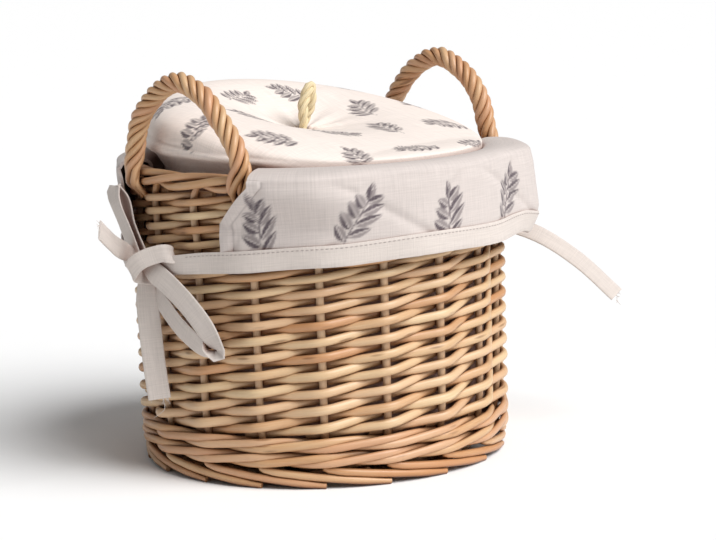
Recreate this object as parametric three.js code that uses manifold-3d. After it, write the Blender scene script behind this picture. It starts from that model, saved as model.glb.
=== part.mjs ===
// Lined potato basket: a round basket of woven willow with two roped handles, a cloth liner
// folded over the rim and tied in bows below the handles, and a padded lid with a rope pull.
// Millimetres, +Z up. The origin lies on the floor at the basket's axis, the handles stand
// over the X axis, and the front flap of the liner faces -Y.

import * as THREE from "three";
import { mergeVertices } from "three/addons/utils/BufferGeometryUtils.js";
import Module from "manifold-3d";

// Wicker wall
const WALL_HEIGHT = 223.5; // floor to the top of the rolled border
const RIM_RADIUS = 133; // axis to the stakes at the border
const FOOT_RADIUS = 131; // axis to the stakes at the foot
const STAKE_COUNT = 18;
const STAKE_TURN = 7; // degrees from +X to the first stake
const STAKE_ROD = 5.2; // diameter of a stake
const WEAVER_BUTT = 5.9; // diameter of a weaver at its thick lower end
const WEAVER_TIP = 4.3; // diameter of a weaver at its thin upper end
const WALE_ROD = 4.2; // diameter of the three rods twined round the stakes' feet
const WALE_START = 3; // stake, counted from the first, at which the twined rods step up a round
const ROD_GAP = 0.4; // clearance between rods that lie on each other
const FOOT_SPACES = 2; // spaces between stakes that a stake's lower end runs along
const FOOT_FLARE = 3; // how far the foot border stands out from the stakes
const FOOT_FLAT = 0.5; // depth of the flat that the foot border stands on

// Wicker base
const BASE_STICK = 6; // diameter of the crossed sticks
const BASE_STICKS = 3; // sticks laid each way
const BASE_WEAVER = 5.5; // diameter of the two rods woven round the sticks
const BASE_LIFT = 1; // floor to the underside of the base
const BASE_CROSS = 20; // length over which the sticks lie side by side
const BASE_FAN = 36; // axis to where the sticks stand as spokes

// Roped handles
const HANDLE_SPAN = 114; // between the middles of the two feet
const HANDLE_RISE = 70.7; // border to the top of the handle
const HANDLE_ROPE = 15; // thickness of the twisted rods
const HANDLE_STRANDS = 5;
const HANDLE_LAY = 44; // length of one full twist
const HANDLE_FOOT_WIDTH = 21; // the strands fan out at the feet
const HANDLE_FOOT_DEPTH = 8.4;
const HANDLE_TUCK = 21; // how far the feet reach down over the border
const HANDLE_SEAT = 0.5; // how far the feet settle in between the border's rods
const HANDLE_SHIFT = 2; // degrees by which the left handle sits off the X axis, towards the front
const HANDLE_SPREAD = 22; // height above the border where the strands start to fan out

// Cloth liner
const LINER_CLOTH = 2.2; // lined and wadded cloth
const LINER_GAP = 0.4; // clearance between cloth and wicker
const SEAM_GAP = 0.4; // clearance between cloths that are sewn together
const BAG_TOP = 11; // seam of bag and flap, below the top of the border
const FOLD_RISE = 4.5; // top of the fold, above the top of the border
const FLAP_DROP = 64.7; // hem of the flap, below the top of the border
const FLAP_SLACK = 4.5; // looseness of the flap outside the border
const FLAP_FLARE = 2.5; // how much further out the flap hangs at its hem
const FLAP_SWAY = 6; // how far the hems have slid over towards +X
const FLAP_FOLDS = 7; // shallow folds across a flap
const FLAP_FOLD_DEPTH = 1.2;
const FLAP_STAND = 12.5; // how much further out the flap's ends lie, over the handles' feet
const FLAP_STAND_START = 68; // degrees from the handle's middle to where the ends start to come out
const FLAP_STAND_FULL = 44; // degrees from the handle's middle to where they are fully out
const FLAP_STAND_LEFT = 4; // depth below the border's top from which they come in again, at -X
const FLAP_STAND_RIGHT = 26; // the same at +X
const FLAP_STAND_HEIGHT = 30; // height over which they come in
const HEM_TILT = 6.1; // how far the hem rises to one side and falls to the other: it sits askew
const HEM_TURN = -60; // degrees from +X to the side where the hem is highest
const HEM_SAG = 2.5; // how much lower the hem hangs at the flaps' ends
const HEM_SAG_START = 48; // degrees from the handle's middle to where the hem starts to sag
const HEM_SAG_FULL = 24; // degrees from the handle's middle to where it sags fully
const NOTCH_RIM = 30; // degrees from the handle's middle to the flap, at the rim
const NOTCH_HEM = 20.2; // the same at the hem
const NOTCH_UPPER = 6; // upper end of the slanted corner, below the top of the border
const NOTCH_LOWER = 33; // lower end of the slanted corner
const BINDING_WIDTH = 15;
const BINDING_CLOTH = 1.6;
const BINDING_ROOM = 4; // height above the binding within which the flap does not bulge over it

// Bows that the binding's ends are tied in
const KNOT_TURN = -9.5; // degrees from the handle's middle
const KNOT_DEPTH = 15;
const KNOT_WIDTH = 28;
const KNOT_HEIGHT = 23;
const KNOT_HANG = 5; // how far a knot hangs below the middle of the binding
const TIE_WIDTH = 15;
const TIE_CLOTH = 1.8;
const TIE_SLACK = 1.4; // looseness of the knots and ties that lie against the wicker
const TIE_OUT = 50.8; // how far the two ties that stand away reach past the knots, along X
const TIE_DROP = 98.7; // knot to the end of the tie that hangs down
const LOOP_DROP = 60.5; // knot to the tip of the lower loop
const LOOP_RISE = 55.5; // knot to the tip of the upper loop
const LOOP_WIDTH = 7; // between the two runs of a loop
const LOOP_SLANT = 42; // degrees by which the cloth of the lower loop slants
const TIE_SWING = 51; // degrees by which the cloth of the hanging tie stands away from the wall

// Padded lid
const LID_FIT = 1; // clearance between the lid's plug and the liner
const LID_OVERHANG = 3.2; // how far the cushion bulges past its plug
const LID_REST_GAP = 0.55; // between the cushion's seat and the folded liner under it
const LID_SIDE = 12; // upright side of the cushion between its seat and its shoulder
const LID_PLUG = 18; // depth of the plug below the top of the border
const LID_CROWN = 32.5; // height of the crown above the top of the border
const LID_DIMPLE = 18.5; // height of the middle above the top of the border
const LID_CROWN_RADIUS = 80;
const LID_SETTLE = 0.9; // share by which the filling is fuller on one side and thinner opposite
const LID_SETTLE_TURN = 98; // degrees from +X to the fuller side
const LID_THIN = 0.3; // least share of the filling that is left on the thin side
const LID_CLOTH = 1.6;
const LID_LOOSE = 1.2; // looseness of the cover over the filling
const PULL_ROPE = 8.4; // diameter of the rope pull
const PULL_RISE = 36; // top of the pull above the dimple
const PULL_TURN = 75; // degrees from +X to the plane of the pull's loop
const PULL_LEAN = 7; // how far the top of the loop leans out of its plane
const PULL_KNOT = 24; // diameter of the knot below the lid
const PULL_KNOT_HEIGHT = 13;

// Facets
const STAKE_SIDES = 6;
const ROD_SIDES = 4;
const ROUND_STEPS = 28;

const TURN = 2 * Math.PI;
const SPACE = TURN / STAKE_COUNT;
const rad = THREE.MathUtils.degToRad;
const lerp = THREE.MathUtils.lerp;
const clamp = THREE.MathUtils.clamp;
const smoothstep = THREE.MathUtils.smoothstep;

const willow = { color: 0xc79a62, roughness: 0.62, metalness: 0 };
const willowPale = { color: 0xd2aa74, roughness: 0.58, metalness: 0 };
const linen = { color: 0xd6cdc4, roughness: 0.92, metalness: 0 };
const tape = { color: 0xcbc2b8, roughness: 0.9, metalness: 0 };
const lidLinen = { color: 0xe4d8d0, roughness: 0.92, metalness: 0 };
const filling = { color: 0xf2efe8, roughness: 0.98, metalness: 0 };
const straw = { color: 0xd9bf8c, roughness: 0.8, metalness: 0 };

const wasm = await Module();
wasm.setup();

const basket = new THREE.Group();

function add(parent, name, geometry, look) {
  const mesh = new THREE.Mesh(geometry, new THREE.MeshStandardMaterial(look));
  mesh.name = name;
  parent.add(mesh);
  return mesh;
}

function number(index) {
  return String(index + 1).padStart(2, "0");
}

function polar(radius, angle, z) {
  return new THREE.Vector3(radius * Math.cos(angle), radius * Math.sin(angle), z);
}

function outward(point) {
  return new THREE.Vector3(point.x, point.y, 0).normalize();
}

// A closed body from points and triangles, turned so that its faces point out.
function body(points, triangles) {
  const volume = triangles.reduce((sum, [a, b, c]) => {
    const cross = new THREE.Vector3().crossVectors(points[b], points[c]);
    return sum + points[a].dot(cross);
  }, 0);
  const index = triangles.flatMap(([a, b, c]) => (volume > 0 ? [a, b, c] : [a, c, b]));
  const geometry = new THREE.BufferGeometry().setFromPoints(points);
  geometry.setIndex(index);
  geometry.computeVertexNormals();
  return geometry;
}

// A body through a row of rings that hold equally many points, closed at both ends.
function loft(rings) {
  const size = rings[0].length;
  const points = rings.flat();
  const triangles = [];
  for (let ring = 0; ring + 1 < rings.length; ring += 1) {
    for (let side = 0; side < size; side += 1) {
      const next = (side + 1) % size;
      const a = ring * size + side;
      const b = ring * size + next;
      triangles.push([a, b, b + size], [a, b + size, a + size]);
    }
  }
  for (const ring of [0, rings.length - 1]) {
    const middle = new THREE.Vector3();
    rings[ring].forEach((point) => middle.addScaledVector(point, 1 / size));
    points.push(middle);
    for (let side = 0; side < size; side += 1) {
      const a = ring * size + side;
      const b = ring * size + ((side + 1) % size);
      triangles.push(ring === 0 ? [points.length - 1, b, a] : [points.length - 1, a, b]);
    }
  }
  return body(points, triangles);
}

// A section carried along a path. Its first coordinate lies along the given normal.
function sweep(path, normalAt, sectionAt) {
  const rings = path.map((point, index) => {
    const tangent = new THREE.Vector3();
    if (index > 0) tangent.add(point.clone().sub(path[index - 1]).normalize());
    if (index + 1 < path.length) tangent.add(path[index + 1].clone().sub(point).normalize());
    tangent.normalize();
    const normal = normalAt(point);
    normal.addScaledVector(tangent, -normal.dot(tangent)).normalize();
    const side = new THREE.Vector3().crossVectors(tangent, normal);
    return sectionAt(index, point).map(([along, across]) =>
      point.clone().addScaledVector(normal, along).addScaledVector(side, across),
    );
  });
  return loft(rings);
}

function roundSection(diameter, sides) {
  return Array.from({ length: sides }, (_, side) => {
    const angle = (TURN * side) / sides;
    return [(diameter / 2) * Math.cos(angle), (diameter / 2) * Math.sin(angle)];
  });
}

function flatSection(width, thickness) {
  const w = width / 2;
  const t = thickness / 2;
  return [[w, t], [-w, t], [-w, -t], [w, -t]];
}

// A cloth of even thickness over a patch that is given by two shares from 0 to 1.
function cloth(pointAt, acrossSteps, alongSteps, thickness) {
  const faces = [[], []];
  const step = 1e-3;
  for (let i = 0; i <= alongSteps; i += 1) {
    for (let j = 0; j <= acrossSteps; j += 1) {
      const [u, v] = [j / acrossSteps, i / alongSteps];
      const du = pointAt(Math.min(u + step, 1), v).sub(pointAt(Math.max(u - step, 0), v));
      const dv = pointAt(u, Math.min(v + step, 1)).sub(pointAt(u, Math.max(v - step, 0)));
      const normal = du.cross(dv).normalize();
      faces[0].push(pointAt(u, v).addScaledVector(normal, thickness / 2));
      faces[1].push(pointAt(u, v).addScaledVector(normal, -thickness / 2));
    }
  }
  const row = acrossSteps + 1;
  const under = faces[0].length;
  const triangles = [];
  for (let i = 0; i < alongSteps; i += 1) {
    for (let j = 0; j < acrossSteps; j += 1) {
      const a = i * row + j;
      triangles.push([a, a + 1, a + row + 1], [a, a + row + 1, a + row]);
      const b = a + under;
      triangles.push([b, b + row + 1, b + 1], [b, b + row, b + row + 1]);
    }
  }
  const border = [];
  for (let j = 0; j < acrossSteps; j += 1) border.push(j);
  for (let i = 0; i < alongSteps; i += 1) border.push(i * row + acrossSteps);
  for (let j = acrossSteps; j > 0; j -= 1) border.push(alongSteps * row + j);
  for (let i = alongSteps; i > 0; i -= 1) border.push(i * row);
  border.forEach((a, place) => {
    const b = border[(place + 1) % border.length];
    triangles.push([b, a, a + under], [b, a + under, b + under]);
  });
  return body(faces.flat(), triangles);
}

// A turned body. Its closed profile of radii and heights may run round either way.
function lathe(profile) {
  const points = profile.map(([radius, z]) => new THREE.Vector2(radius, z));
  if (THREE.ShapeUtils.isClockWise(points)) points.reverse();
  return new THREE.LatheGeometry([...points, points[0]], ROUND_STEPS).rotateX(Math.PI / 2);
}

function manifold(geometry) {
  const plain = geometry.clone();
  plain.deleteAttribute("normal");
  plain.deleteAttribute("uv");
  const merged = mergeVertices(plain, 1e-4);
  const vertProperties = new Float32Array(merged.attributes.position.array);
  const triVerts = new Uint32Array(merged.index.array);
  return new wasm.Manifold(new wasm.Mesh({ numProp: 3, vertProperties, triVerts }));
}

function join(geometries) {
  const solid = geometries.map(manifold).reduce((whole, piece) => whole.add(piece));
  const mesh = solid.getMesh();
  const joined = new THREE.BufferGeometry();
  joined.setAttribute("position", new THREE.BufferAttribute(mesh.vertProperties, 3));
  joined.setIndex(new THREE.BufferAttribute(mesh.triVerts, 1));
  joined.computeVertexNormals();
  return joined;
}

// Heights and radii that the pieces share
const rodPitch = STAKE_ROD + ROD_GAP;
const footLow = STAKE_ROD / 2 - FOOT_FLAT;
const footHigh = footLow + FOOT_SPACES * rodPitch;
const footTop = footHigh + STAKE_ROD / 2;
const footRunRadius = FOOT_RADIUS + FOOT_FLARE;
// The rolled border in section: spaces run along, then rod pitches out and up from the stake's top.
const BORDER_ROUTE = [
  [0.5, 0.39, -0.21],
  [1, 1, 0.18],
  [1.5, 0.93, 0.89],
  [2, 0.16, 1.25],
  [2.5, -0.43, 1.14],
  [3, -0.89, 0.64],
];
const borderRise = Math.max(...BORDER_ROUTE.map(([, , up]) => up)) * rodPitch;
const borderDip = Math.min(...BORDER_ROUTE.map(([, , up]) => up)) * rodPitch;
const borderOut = Math.max(...BORDER_ROUTE.map(([, out]) => out)) * rodPitch;
const borderIn = Math.min(...BORDER_ROUTE.map(([, out]) => out)) * rodPitch;
const stakeTop = WALL_HEIGHT - borderRise - STAKE_ROD / 2;
const borderOuter = RIM_RADIUS + borderOut + STAKE_ROD / 2;
const borderInner = RIM_RADIUS + borderIn - STAKE_ROD / 2;

function stakeAngle(index) {
  return rad(STAKE_TURN) + index * SPACE;
}

function stakeRadius(z) {
  return lerp(FOOT_RADIUS, RIM_RADIUS, z / WALL_HEIGHT);
}

// Stakes: upright rods whose lower ends run down along the foot border and whose upper ends are
// rolled down over the next three stakes into the top border.
function stakePath(index) {
  const angle = stakeAngle(index);
  const bend = STAKE_ROD / (FOOT_RADIUS * SPACE);
  const path = [];
  for (let space = FOOT_SPACES; space > 0; space -= 1) {
    const foot = footHigh - space * rodPitch;
    for (const [back, rise] of [[0, 0], [0.4, 0], [0.7, 0.5]]) {
      path.push(polar(footRunRadius, angle + (space - back) * SPACE, foot + rise * rodPitch));
    }
  }
  path.push(polar(footRunRadius, angle + bend * SPACE, footHigh));
  path.push(polar(footRunRadius - FOOT_FLARE / 2, angle, footHigh + STAKE_ROD / 4));
  path.push(polar(stakeRadius(footTop), angle, footTop + STAKE_ROD / 4));
  path.push(polar(stakeRadius(stakeTop), angle, stakeTop - STAKE_ROD));
  path.push(polar(RIM_RADIUS, angle + 0.5 * bend * SPACE, stakeTop));
  for (const [spaces, out, up] of BORDER_ROUTE) {
    const radius = RIM_RADIUS + out * rodPitch;
    path.push(polar(radius, angle + spaces * SPACE, stakeTop + up * rodPitch));
  }
  return path;
}

function flattened(geometry) {
  const position = geometry.attributes.position;
  for (let i = 0; i < position.count; i += 1) position.setZ(i, Math.max(position.getZ(i), 0));
  geometry.computeVertexNormals();
  return geometry;
}

for (let index = 0; index < STAKE_COUNT; index += 1) {
  const section = roundSection(STAKE_ROD, STAKE_SIDES);
  const stake = sweep(stakePath(index), outward, () => section);
  add(basket, `stake_${number(index)}`, flattened(stake), willow);
}

// Wale: three rods twined round the stakes above the foot, each before two stakes and behind one.
// They step up to the second round behind the basket.
const WALE_ROUTE = [
  [-1, 0],
  [0, -0.56],
  [1, -0.56],
  [1, 0],
  [1, 0.56],
  [0, 0.56],
];
const waleLift = 0.56 * WALE_ROD;
const waleRound = 2 * waleLift + WALE_ROD + ROD_GAP;
const waleLow = footTop + ROD_GAP + WALE_ROD / 2 + waleLift;
const waleTop = waleLow + waleRound + waleLift + WALE_ROD / 2;
const WALE_STEP = 2; // spaces over which the rods step up

function walePath(rod) {
  const offset = (STAKE_ROD + WALE_ROD) / 2 + ROD_GAP;
  const path = [];
  const stepEnd = STAKE_COUNT;
  for (let half = 0; half <= 2 * (2 * STAKE_COUNT - WALE_STEP); half += 1) {
    const [out, up] = WALE_ROUTE[(half + 2 * rod) % WALE_ROUTE.length];
    const climb = clamp((half / 2 - (stepEnd - WALE_STEP)) / WALE_STEP, 0, 1);
    const z = waleLow + climb * waleRound + up * WALE_ROD;
    const chord = half % 2 ? Math.cos(SPACE / 2) : 1;
    const reach = out > 0 ? out / chord : out;
    path.push(polar(stakeRadius(z) + reach * offset, stakeAngle(WALE_START) + (half / 2) * SPACE, z));
  }
  return path;
}

for (let rod = 0; rod < 3; rod += 1) {
  const section = roundSection(WALE_ROD, ROD_SIDES);
  add(basket, `wale_rod_${rod + 1}`, sweep(walePath(rod), outward, () => section), willow);
}

// Weavers: one tapering rod from every stake, passing before and behind the stakes in turn and
// climbing by one level at each stake, so that all of them rise side by side.
const weaveLow = waleTop + ROD_GAP + WEAVER_BUTT / 2;
const weaveHigh = stakeTop + borderDip - (STAKE_ROD + WEAVER_TIP) / 2 - ROD_GAP;
const meanPitch = (WEAVER_BUTT + WEAVER_TIP) / 2 + ROD_GAP;
const weaveLevels = 2 * Math.floor((weaveHigh - weaveLow) / meanPitch / 2);
const WEAVER_END = 0.3; // spaces by which a weaver's ends run past its last stakes

function weaverDiameter(level) {
  return lerp(WEAVER_BUTT, WEAVER_TIP, clamp(level / weaveLevels, 0, 1));
}

function weaveHeight(level) {
  const share = clamp(level / weaveLevels, 0, 1);
  const thick = WEAVER_BUTT + ROD_GAP;
  const thin = WEAVER_TIP + ROD_GAP;
  const run = thick * share - ((thick - thin) * share * share) / 2;
  return lerp(weaveLow, weaveHigh, run / ((thick + thin) / 2));
}

function weaverPath(first) {
  const levels = [-WEAVER_END];
  for (let level = 0; level <= weaveLevels; level += 1) levels.push(level);
  levels.push(weaveLevels + WEAVER_END);
  return levels.map((level) => {
    const z = weaveHeight(level);
    const offset = (STAKE_ROD + weaverDiameter(level)) / 2 + ROD_GAP;
    const slant = Math.cos(SPACE / 2 + Math.atan((2 * offset) / (stakeRadius(z) * SPACE)));
    const before = Math.round(level) % 2 !== 0;
    const radius = stakeRadius(z) + (before ? offset / slant : -offset);
    return polar(radius, stakeAngle(first + level), z);
  });
}

function weaverSection(index) {
  return roundSection(weaverDiameter(index - 1), ROD_SIDES);
}

for (let index = 0; index < STAKE_COUNT; index += 1) {
  const weaver = sweep(weaverPath(index), outward, weaverSection);
  add(basket, `weaver_${number(index)}`, weaver, willowPale);
}

// Base: two sets of sticks crossed at the middle and fanned out into spokes, with two rods woven
// round them in turn, one before a spoke where the other is behind it.
const baseOffset = (BASE_STICK + BASE_WEAVER) / 2 + ROD_GAP;
const baseLevel = BASE_LIFT + BASE_WEAVER / 2 + baseOffset;
const baseTop = baseLevel + baseOffset + BASE_WEAVER / 2;
const spokes = 4 * BASE_STICKS;
const spokeEnd = footRunRadius - STAKE_ROD / 2 - ROD_GAP;
const spokePitch = BASE_STICK + ROD_GAP;
const rowPitch = BASE_WEAVER + ROD_GAP;
const upward = () => new THREE.Vector3(0, 0, 1);

function stickPath(stick, side) {
  const place = stick - (BASE_STICKS - 1) / 2;
  const fan = (place * TURN) / spokes;
  const lap = (side * spokePitch) / 2;
  const half = [
    new THREE.Vector3(spokeEnd * Math.cos(fan), spokeEnd * Math.sin(fan), baseLevel),
    new THREE.Vector3(BASE_FAN * Math.cos(fan), BASE_FAN * Math.sin(fan), baseLevel),
    new THREE.Vector3(BASE_CROSS / 2, place * spokePitch, baseLevel + lap),
  ];
  const mirrored = half.map((point) => new THREE.Vector3(-point.x, point.y, point.z)).reverse();
  return [...half, ...mirrored];
}

for (const [set, side] of [["along", 1], ["across", -1]]) {
  const group = new THREE.Group();
  group.rotation.z = side > 0 ? 0 : Math.PI / 2;
  basket.add(group);
  for (let stick = 0; stick < BASE_STICKS; stick += 1) {
    const section = roundSection(BASE_STICK, STAKE_SIDES);
    const rod = sweep(stickPath(stick, side), upward, () => section);
    add(group, `base_stick_${set}_${stick + 1}`, rod, willow);
  }
}

function baseWeaverPath(rod) {
  const first = BASE_FAN + (1 + rod) * rowPitch;
  const last = spokeEnd - BASE_WEAVER / 2 - ROD_GAP - (1 - rod) * rowPitch;
  const steps = Math.floor(((last - first) / (2 * rowPitch)) * spokes);
  return Array.from({ length: steps + 1 }, (_, step) => {
    const radius = first + (2 * rowPitch * step) / spokes;
    const over = (step + rod) % 2 ? 1 : -1;
    return polar(radius, (step * TURN) / spokes, baseLevel + over * baseOffset);
  });
}

for (const rod of [0, 1]) {
  const section = roundSection(BASE_WEAVER, ROD_SIDES);
  const path = baseWeaverPath(rod);
  add(basket, `base_weaver_${rod + 1}`, sweep(path, upward, () => section), willowPale);
}

// Handles: five rods twisted into a rope and bent into an arch. The strands fan out at both feet
// and are tucked down outside the border.
const handleTop = WALL_HEIGHT + HANDLE_RISE - HANDLE_ROPE / 2;
const handleFootRadius = borderOuter * Math.cos(SPACE / 4) - HANDLE_SEAT + HANDLE_FOOT_DEPTH / 2;
const handlePlane = Math.sqrt(handleFootRadius ** 2 - (HANDLE_SPAN / 2) ** 2);
const HANDLE_ROUNDNESS = 1.7; // 2 is an ellipse, less is more pointed
const HANDLE_STEPS = 32;

function handlePath() {
  const foot = WALL_HEIGHT - HANDLE_TUCK;
  const power = 2 / HANDLE_ROUNDNESS;
  const arch = Array.from({ length: 721 }, (_, step) => {
    const angle = (Math.PI * step) / 720;
    const y = (HANDLE_SPAN / 2) * Math.sign(Math.cos(angle)) * Math.abs(Math.cos(angle)) ** power;
    const z = WALL_HEIGHT + (handleTop - WALL_HEIGHT) * Math.sin(angle) ** power;
    return new THREE.Vector3(handlePlane, y, z);
  });
  const route = new THREE.CurvePath();
  const corners = [
    new THREE.Vector3(handlePlane, HANDLE_SPAN / 2, foot),
    ...arch,
    new THREE.Vector3(handlePlane, -HANDLE_SPAN / 2, foot),
  ];
  corners.slice(1).forEach((corner, i) => route.add(new THREE.LineCurve3(corners[i], corner)));
  return { points: route.getSpacedPoints(HANDLE_STEPS), length: route.getLength() };
}

function handleGeometry() {
  const { points, length } = handlePath();
  const lobe = 0.1; // depth of the grooves between strands, as a share of the thickness
  const sectionAt = (index, point) => {
    const spread = clamp((WALL_HEIGHT + HANDLE_SPREAD - point.z) / HANDLE_SPREAD, 0, 1);
    const depth = lerp(HANDLE_ROPE, HANDLE_FOOT_DEPTH, spread) / 2;
    const width = lerp(HANDLE_ROPE, HANDLE_FOOT_WIDTH, spread) / 2;
    const twist = (TURN * ((index / HANDLE_STEPS) * length)) / HANDLE_LAY;
    return Array.from({ length: 2 * HANDLE_STRANDS }, (_, side) => {
      const angle = (TURN * side) / (2 * HANDLE_STRANDS) + twist;
      const scale = side % 2 ? 1 - 2 * lobe * (1 - spread) : 1;
      return [scale * depth * Math.cos(angle), scale * width * Math.sin(angle)];
    });
  };
  return sweep(points, outward, sectionAt);
}

for (const [name, turn] of [["handle_right", 0], ["handle_left", Math.PI + rad(HANDLE_SHIFT)]]) {
  const group = new THREE.Group();
  group.rotation.z = turn;
  basket.add(group);
  add(group, name, handleGeometry(), willow);
}

// Liner: a bag that lines the wicker, with a front and a back flap folded out over the border.
const bagFloor = baseTop + LINER_GAP;
const bagHigh = WALL_HEIGHT - BAG_TOP;
const wovenInner = stakeRadius(weaveLow) - STAKE_ROD / 2 - ROD_GAP - WEAVER_BUTT;
const bagOuterLow = wovenInner - LINER_GAP;
const bagOuterHigh = borderInner - LINER_GAP;

function bagGeometry() {
  return lathe([
    [0, bagFloor],
    [bagOuterLow, bagFloor],
    [bagOuterLow, weaveLow],
    [bagOuterHigh, bagHigh],
    [bagOuterHigh - LINER_CLOTH, bagHigh],
    [bagOuterLow - LINER_CLOTH, weaveLow],
    [bagOuterLow - LINER_CLOTH, bagFloor + LINER_CLOTH],
    [0, bagFloor + LINER_CLOTH],
  ]);
}
add(basket, "liner_bag", bagGeometry(), linen);

const flapInner = bagOuterHigh - LINER_CLOTH / 2;
const flapOuter = borderOuter + FLAP_SLACK + LINER_CLOTH / 2;
const flapHem = WALL_HEIGHT - FLAP_DROP;
const foldMiddle = (flapInner + flapOuter) / 2;
const foldHalf = (flapOuter - flapInner) / 2;
const foldBase = WALL_HEIGHT - STAKE_ROD / 2;
const foldRise = WALL_HEIGHT + FOLD_RISE - LINER_CLOTH / 2 - foldBase;
const FLAP_STEPS = 12; // facets from the seam to the hem
const FOLD_STEPS = 6; // of which over the border
const SEAM_STEPS = 1; // and inside, above the seam

function notchAngle(z) {
  const upper = WALL_HEIGHT - NOTCH_UPPER;
  const lower = WALL_HEIGHT - NOTCH_LOWER;
  return rad(lerp(NOTCH_HEM, NOTCH_RIM, clamp((z - lower) / (upper - lower), 0, 1)));
}

// Angle from the nearer handle's middle to a place round the basket.
function fromHandle(angle) {
  return Math.asin(Math.abs(Math.sin(angle)));
}

// How much higher the hem is at an angle than on the whole.
function hemLift(angle) {
  const sag = smoothstep(-fromHandle(angle), -rad(HEM_SAG_START), -rad(HEM_SAG_FULL));
  return HEM_TILT * Math.cos(angle - rad(HEM_TURN)) - HEM_SAG * sag;
}

// How far the flap's ends stand out over the handles' feet.
function flapStand(z, angle) {
  const end = smoothstep(-fromHandle(angle), -rad(FLAP_STAND_START), -rad(FLAP_STAND_FULL));
  const start = lerp(FLAP_STAND_LEFT, FLAP_STAND_RIGHT, (1 + Math.cos(angle)) / 2);
  const depth = WALL_HEIGHT - start - z;
  return FLAP_STAND * end * (1 - smoothstep(depth, 0, FLAP_STAND_HEIGHT));
}

// Radius of the flap outside the border at a height and angle: it flares to the hem in shallow
// folds, and its ends stand out.
function flapRadius(z, angle) {
  const hang = clamp((foldBase - z) / (foldBase - flapHem), 0, 1);
  const fold = FLAP_FOLD_DEPTH * hang * hang * Math.cos(2 * FLAP_FOLDS * angle);
  const sway = FLAP_SWAY * hang * Math.cos(angle);
  return flapOuter + FLAP_FLARE * hang + fold + sway + flapStand(z, angle);
}

// A flap from its seam inside, over the border and down to the hem. The flap that faces the front
// is the one with a turn of 0.
function flapPoint(u, v, turn) {
  const [seam, fold] = [SEAM_STEPS / FLAP_STEPS, (SEAM_STEPS + FOLD_STEPS) / FLAP_STEPS];
  const angleAt = (notch) => Math.PI + lerp(notch, Math.PI - notch, u);
  if (v > fold) {
    const hem = flapHem + hemLift(angleAt(rad(NOTCH_HEM)) + turn);
    const z = lerp(foldBase, hem, (v - fold) / (1 - fold));
    const angle = angleAt(notchAngle(z));
    return polar(flapRadius(z, angle + turn), angle, z);
  }
  const angle = angleAt(rad(NOTCH_RIM));
  if (v < seam) return polar(flapInner, angle, lerp(bagHigh + SEAM_GAP, foldBase, v / seam));
  const bend = Math.PI * (1 - (v - seam) / (fold - seam));
  const z = foldBase + foldRise * Math.sin(bend);
  const stand = Math.max(Math.cos(bend), 0) * flapStand(z, angle + turn);
  return polar(foldMiddle + foldHalf * Math.cos(bend) + stand, angle, z);
}

// The binding is sewn round the hem and runs on past the flap to the knots at both sides.
const knotAngle = Math.PI + rad(KNOT_TURN);
const bindingHeight = flapHem + BINDING_WIDTH / 2;
const bindingOut = LINER_CLOTH / 2 + 2 * SEAM_GAP + BINDING_CLOTH / 2;
const knotRadius = borderOuter + TIE_SLACK + KNOT_DEPTH / 2;
const knotHalf = (KNOT_WIDTH / 2 + SEAM_GAP) / knotRadius;
const BINDING_STEPS = 28;

function bindingGeometry(turn) {
  const first = knotAngle + knotHalf;
  const last = knotAngle + Math.PI - knotHalf;
  const firstReach = rad(NOTCH_HEM - KNOT_TURN) - knotHalf;
  const lastReach = rad(NOTCH_HEM + KNOT_TURN) - knotHalf;
  const path = Array.from({ length: BINDING_STEPS + 1 }, (_, step) => {
    const angle = lerp(first, last, step / BINDING_STEPS);
    const lift = hemLift(angle + turn);
    const hem = flapHem + lift;
    const heights = [hem, hem + BINDING_WIDTH + BINDING_ROOM];
    const flap = Math.max(...heights.map((z) => flapRadius(z, angle + turn)));
    const past = smoothstep(angle - first, 0, firstReach) * smoothstep(last - angle, 0, lastReach);
    return polar(lerp(knotRadius, flap + bindingOut, past), angle, bindingHeight + lift);
  });
  const sectionAt = (index) => {
    const end = Math.min(index, BINDING_STEPS - index);
    const width = end < 2 ? lerp(TIE_WIDTH * 0.5, BINDING_WIDTH, end / 2) : BINDING_WIDTH;
    return flatSection(BINDING_CLOTH, width);
  };
  return sweep(path, outward, sectionAt);
}

const wallFace = borderOuter + TIE_SLACK + TIE_CLOTH / 2; // a tie that lies against the wicker
const loopFace = wallFace + LOOP_WIDTH; // the outer run of a loop that lies against the wicker
const knotOut = outward(polar(1, knotAngle, 0));
const upright = new THREE.Vector3(0, 0, 1);
const knotAlong = upright.clone().cross(knotOut);
const slanted = knotAlong.clone().applyAxisAngle(knotOut, rad(LOOP_SLANT)); // across the lower loop
const swung = knotAlong.clone().applyAxisAngle(upright, rad(TIE_SWING)); // across the hanging tie

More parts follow.
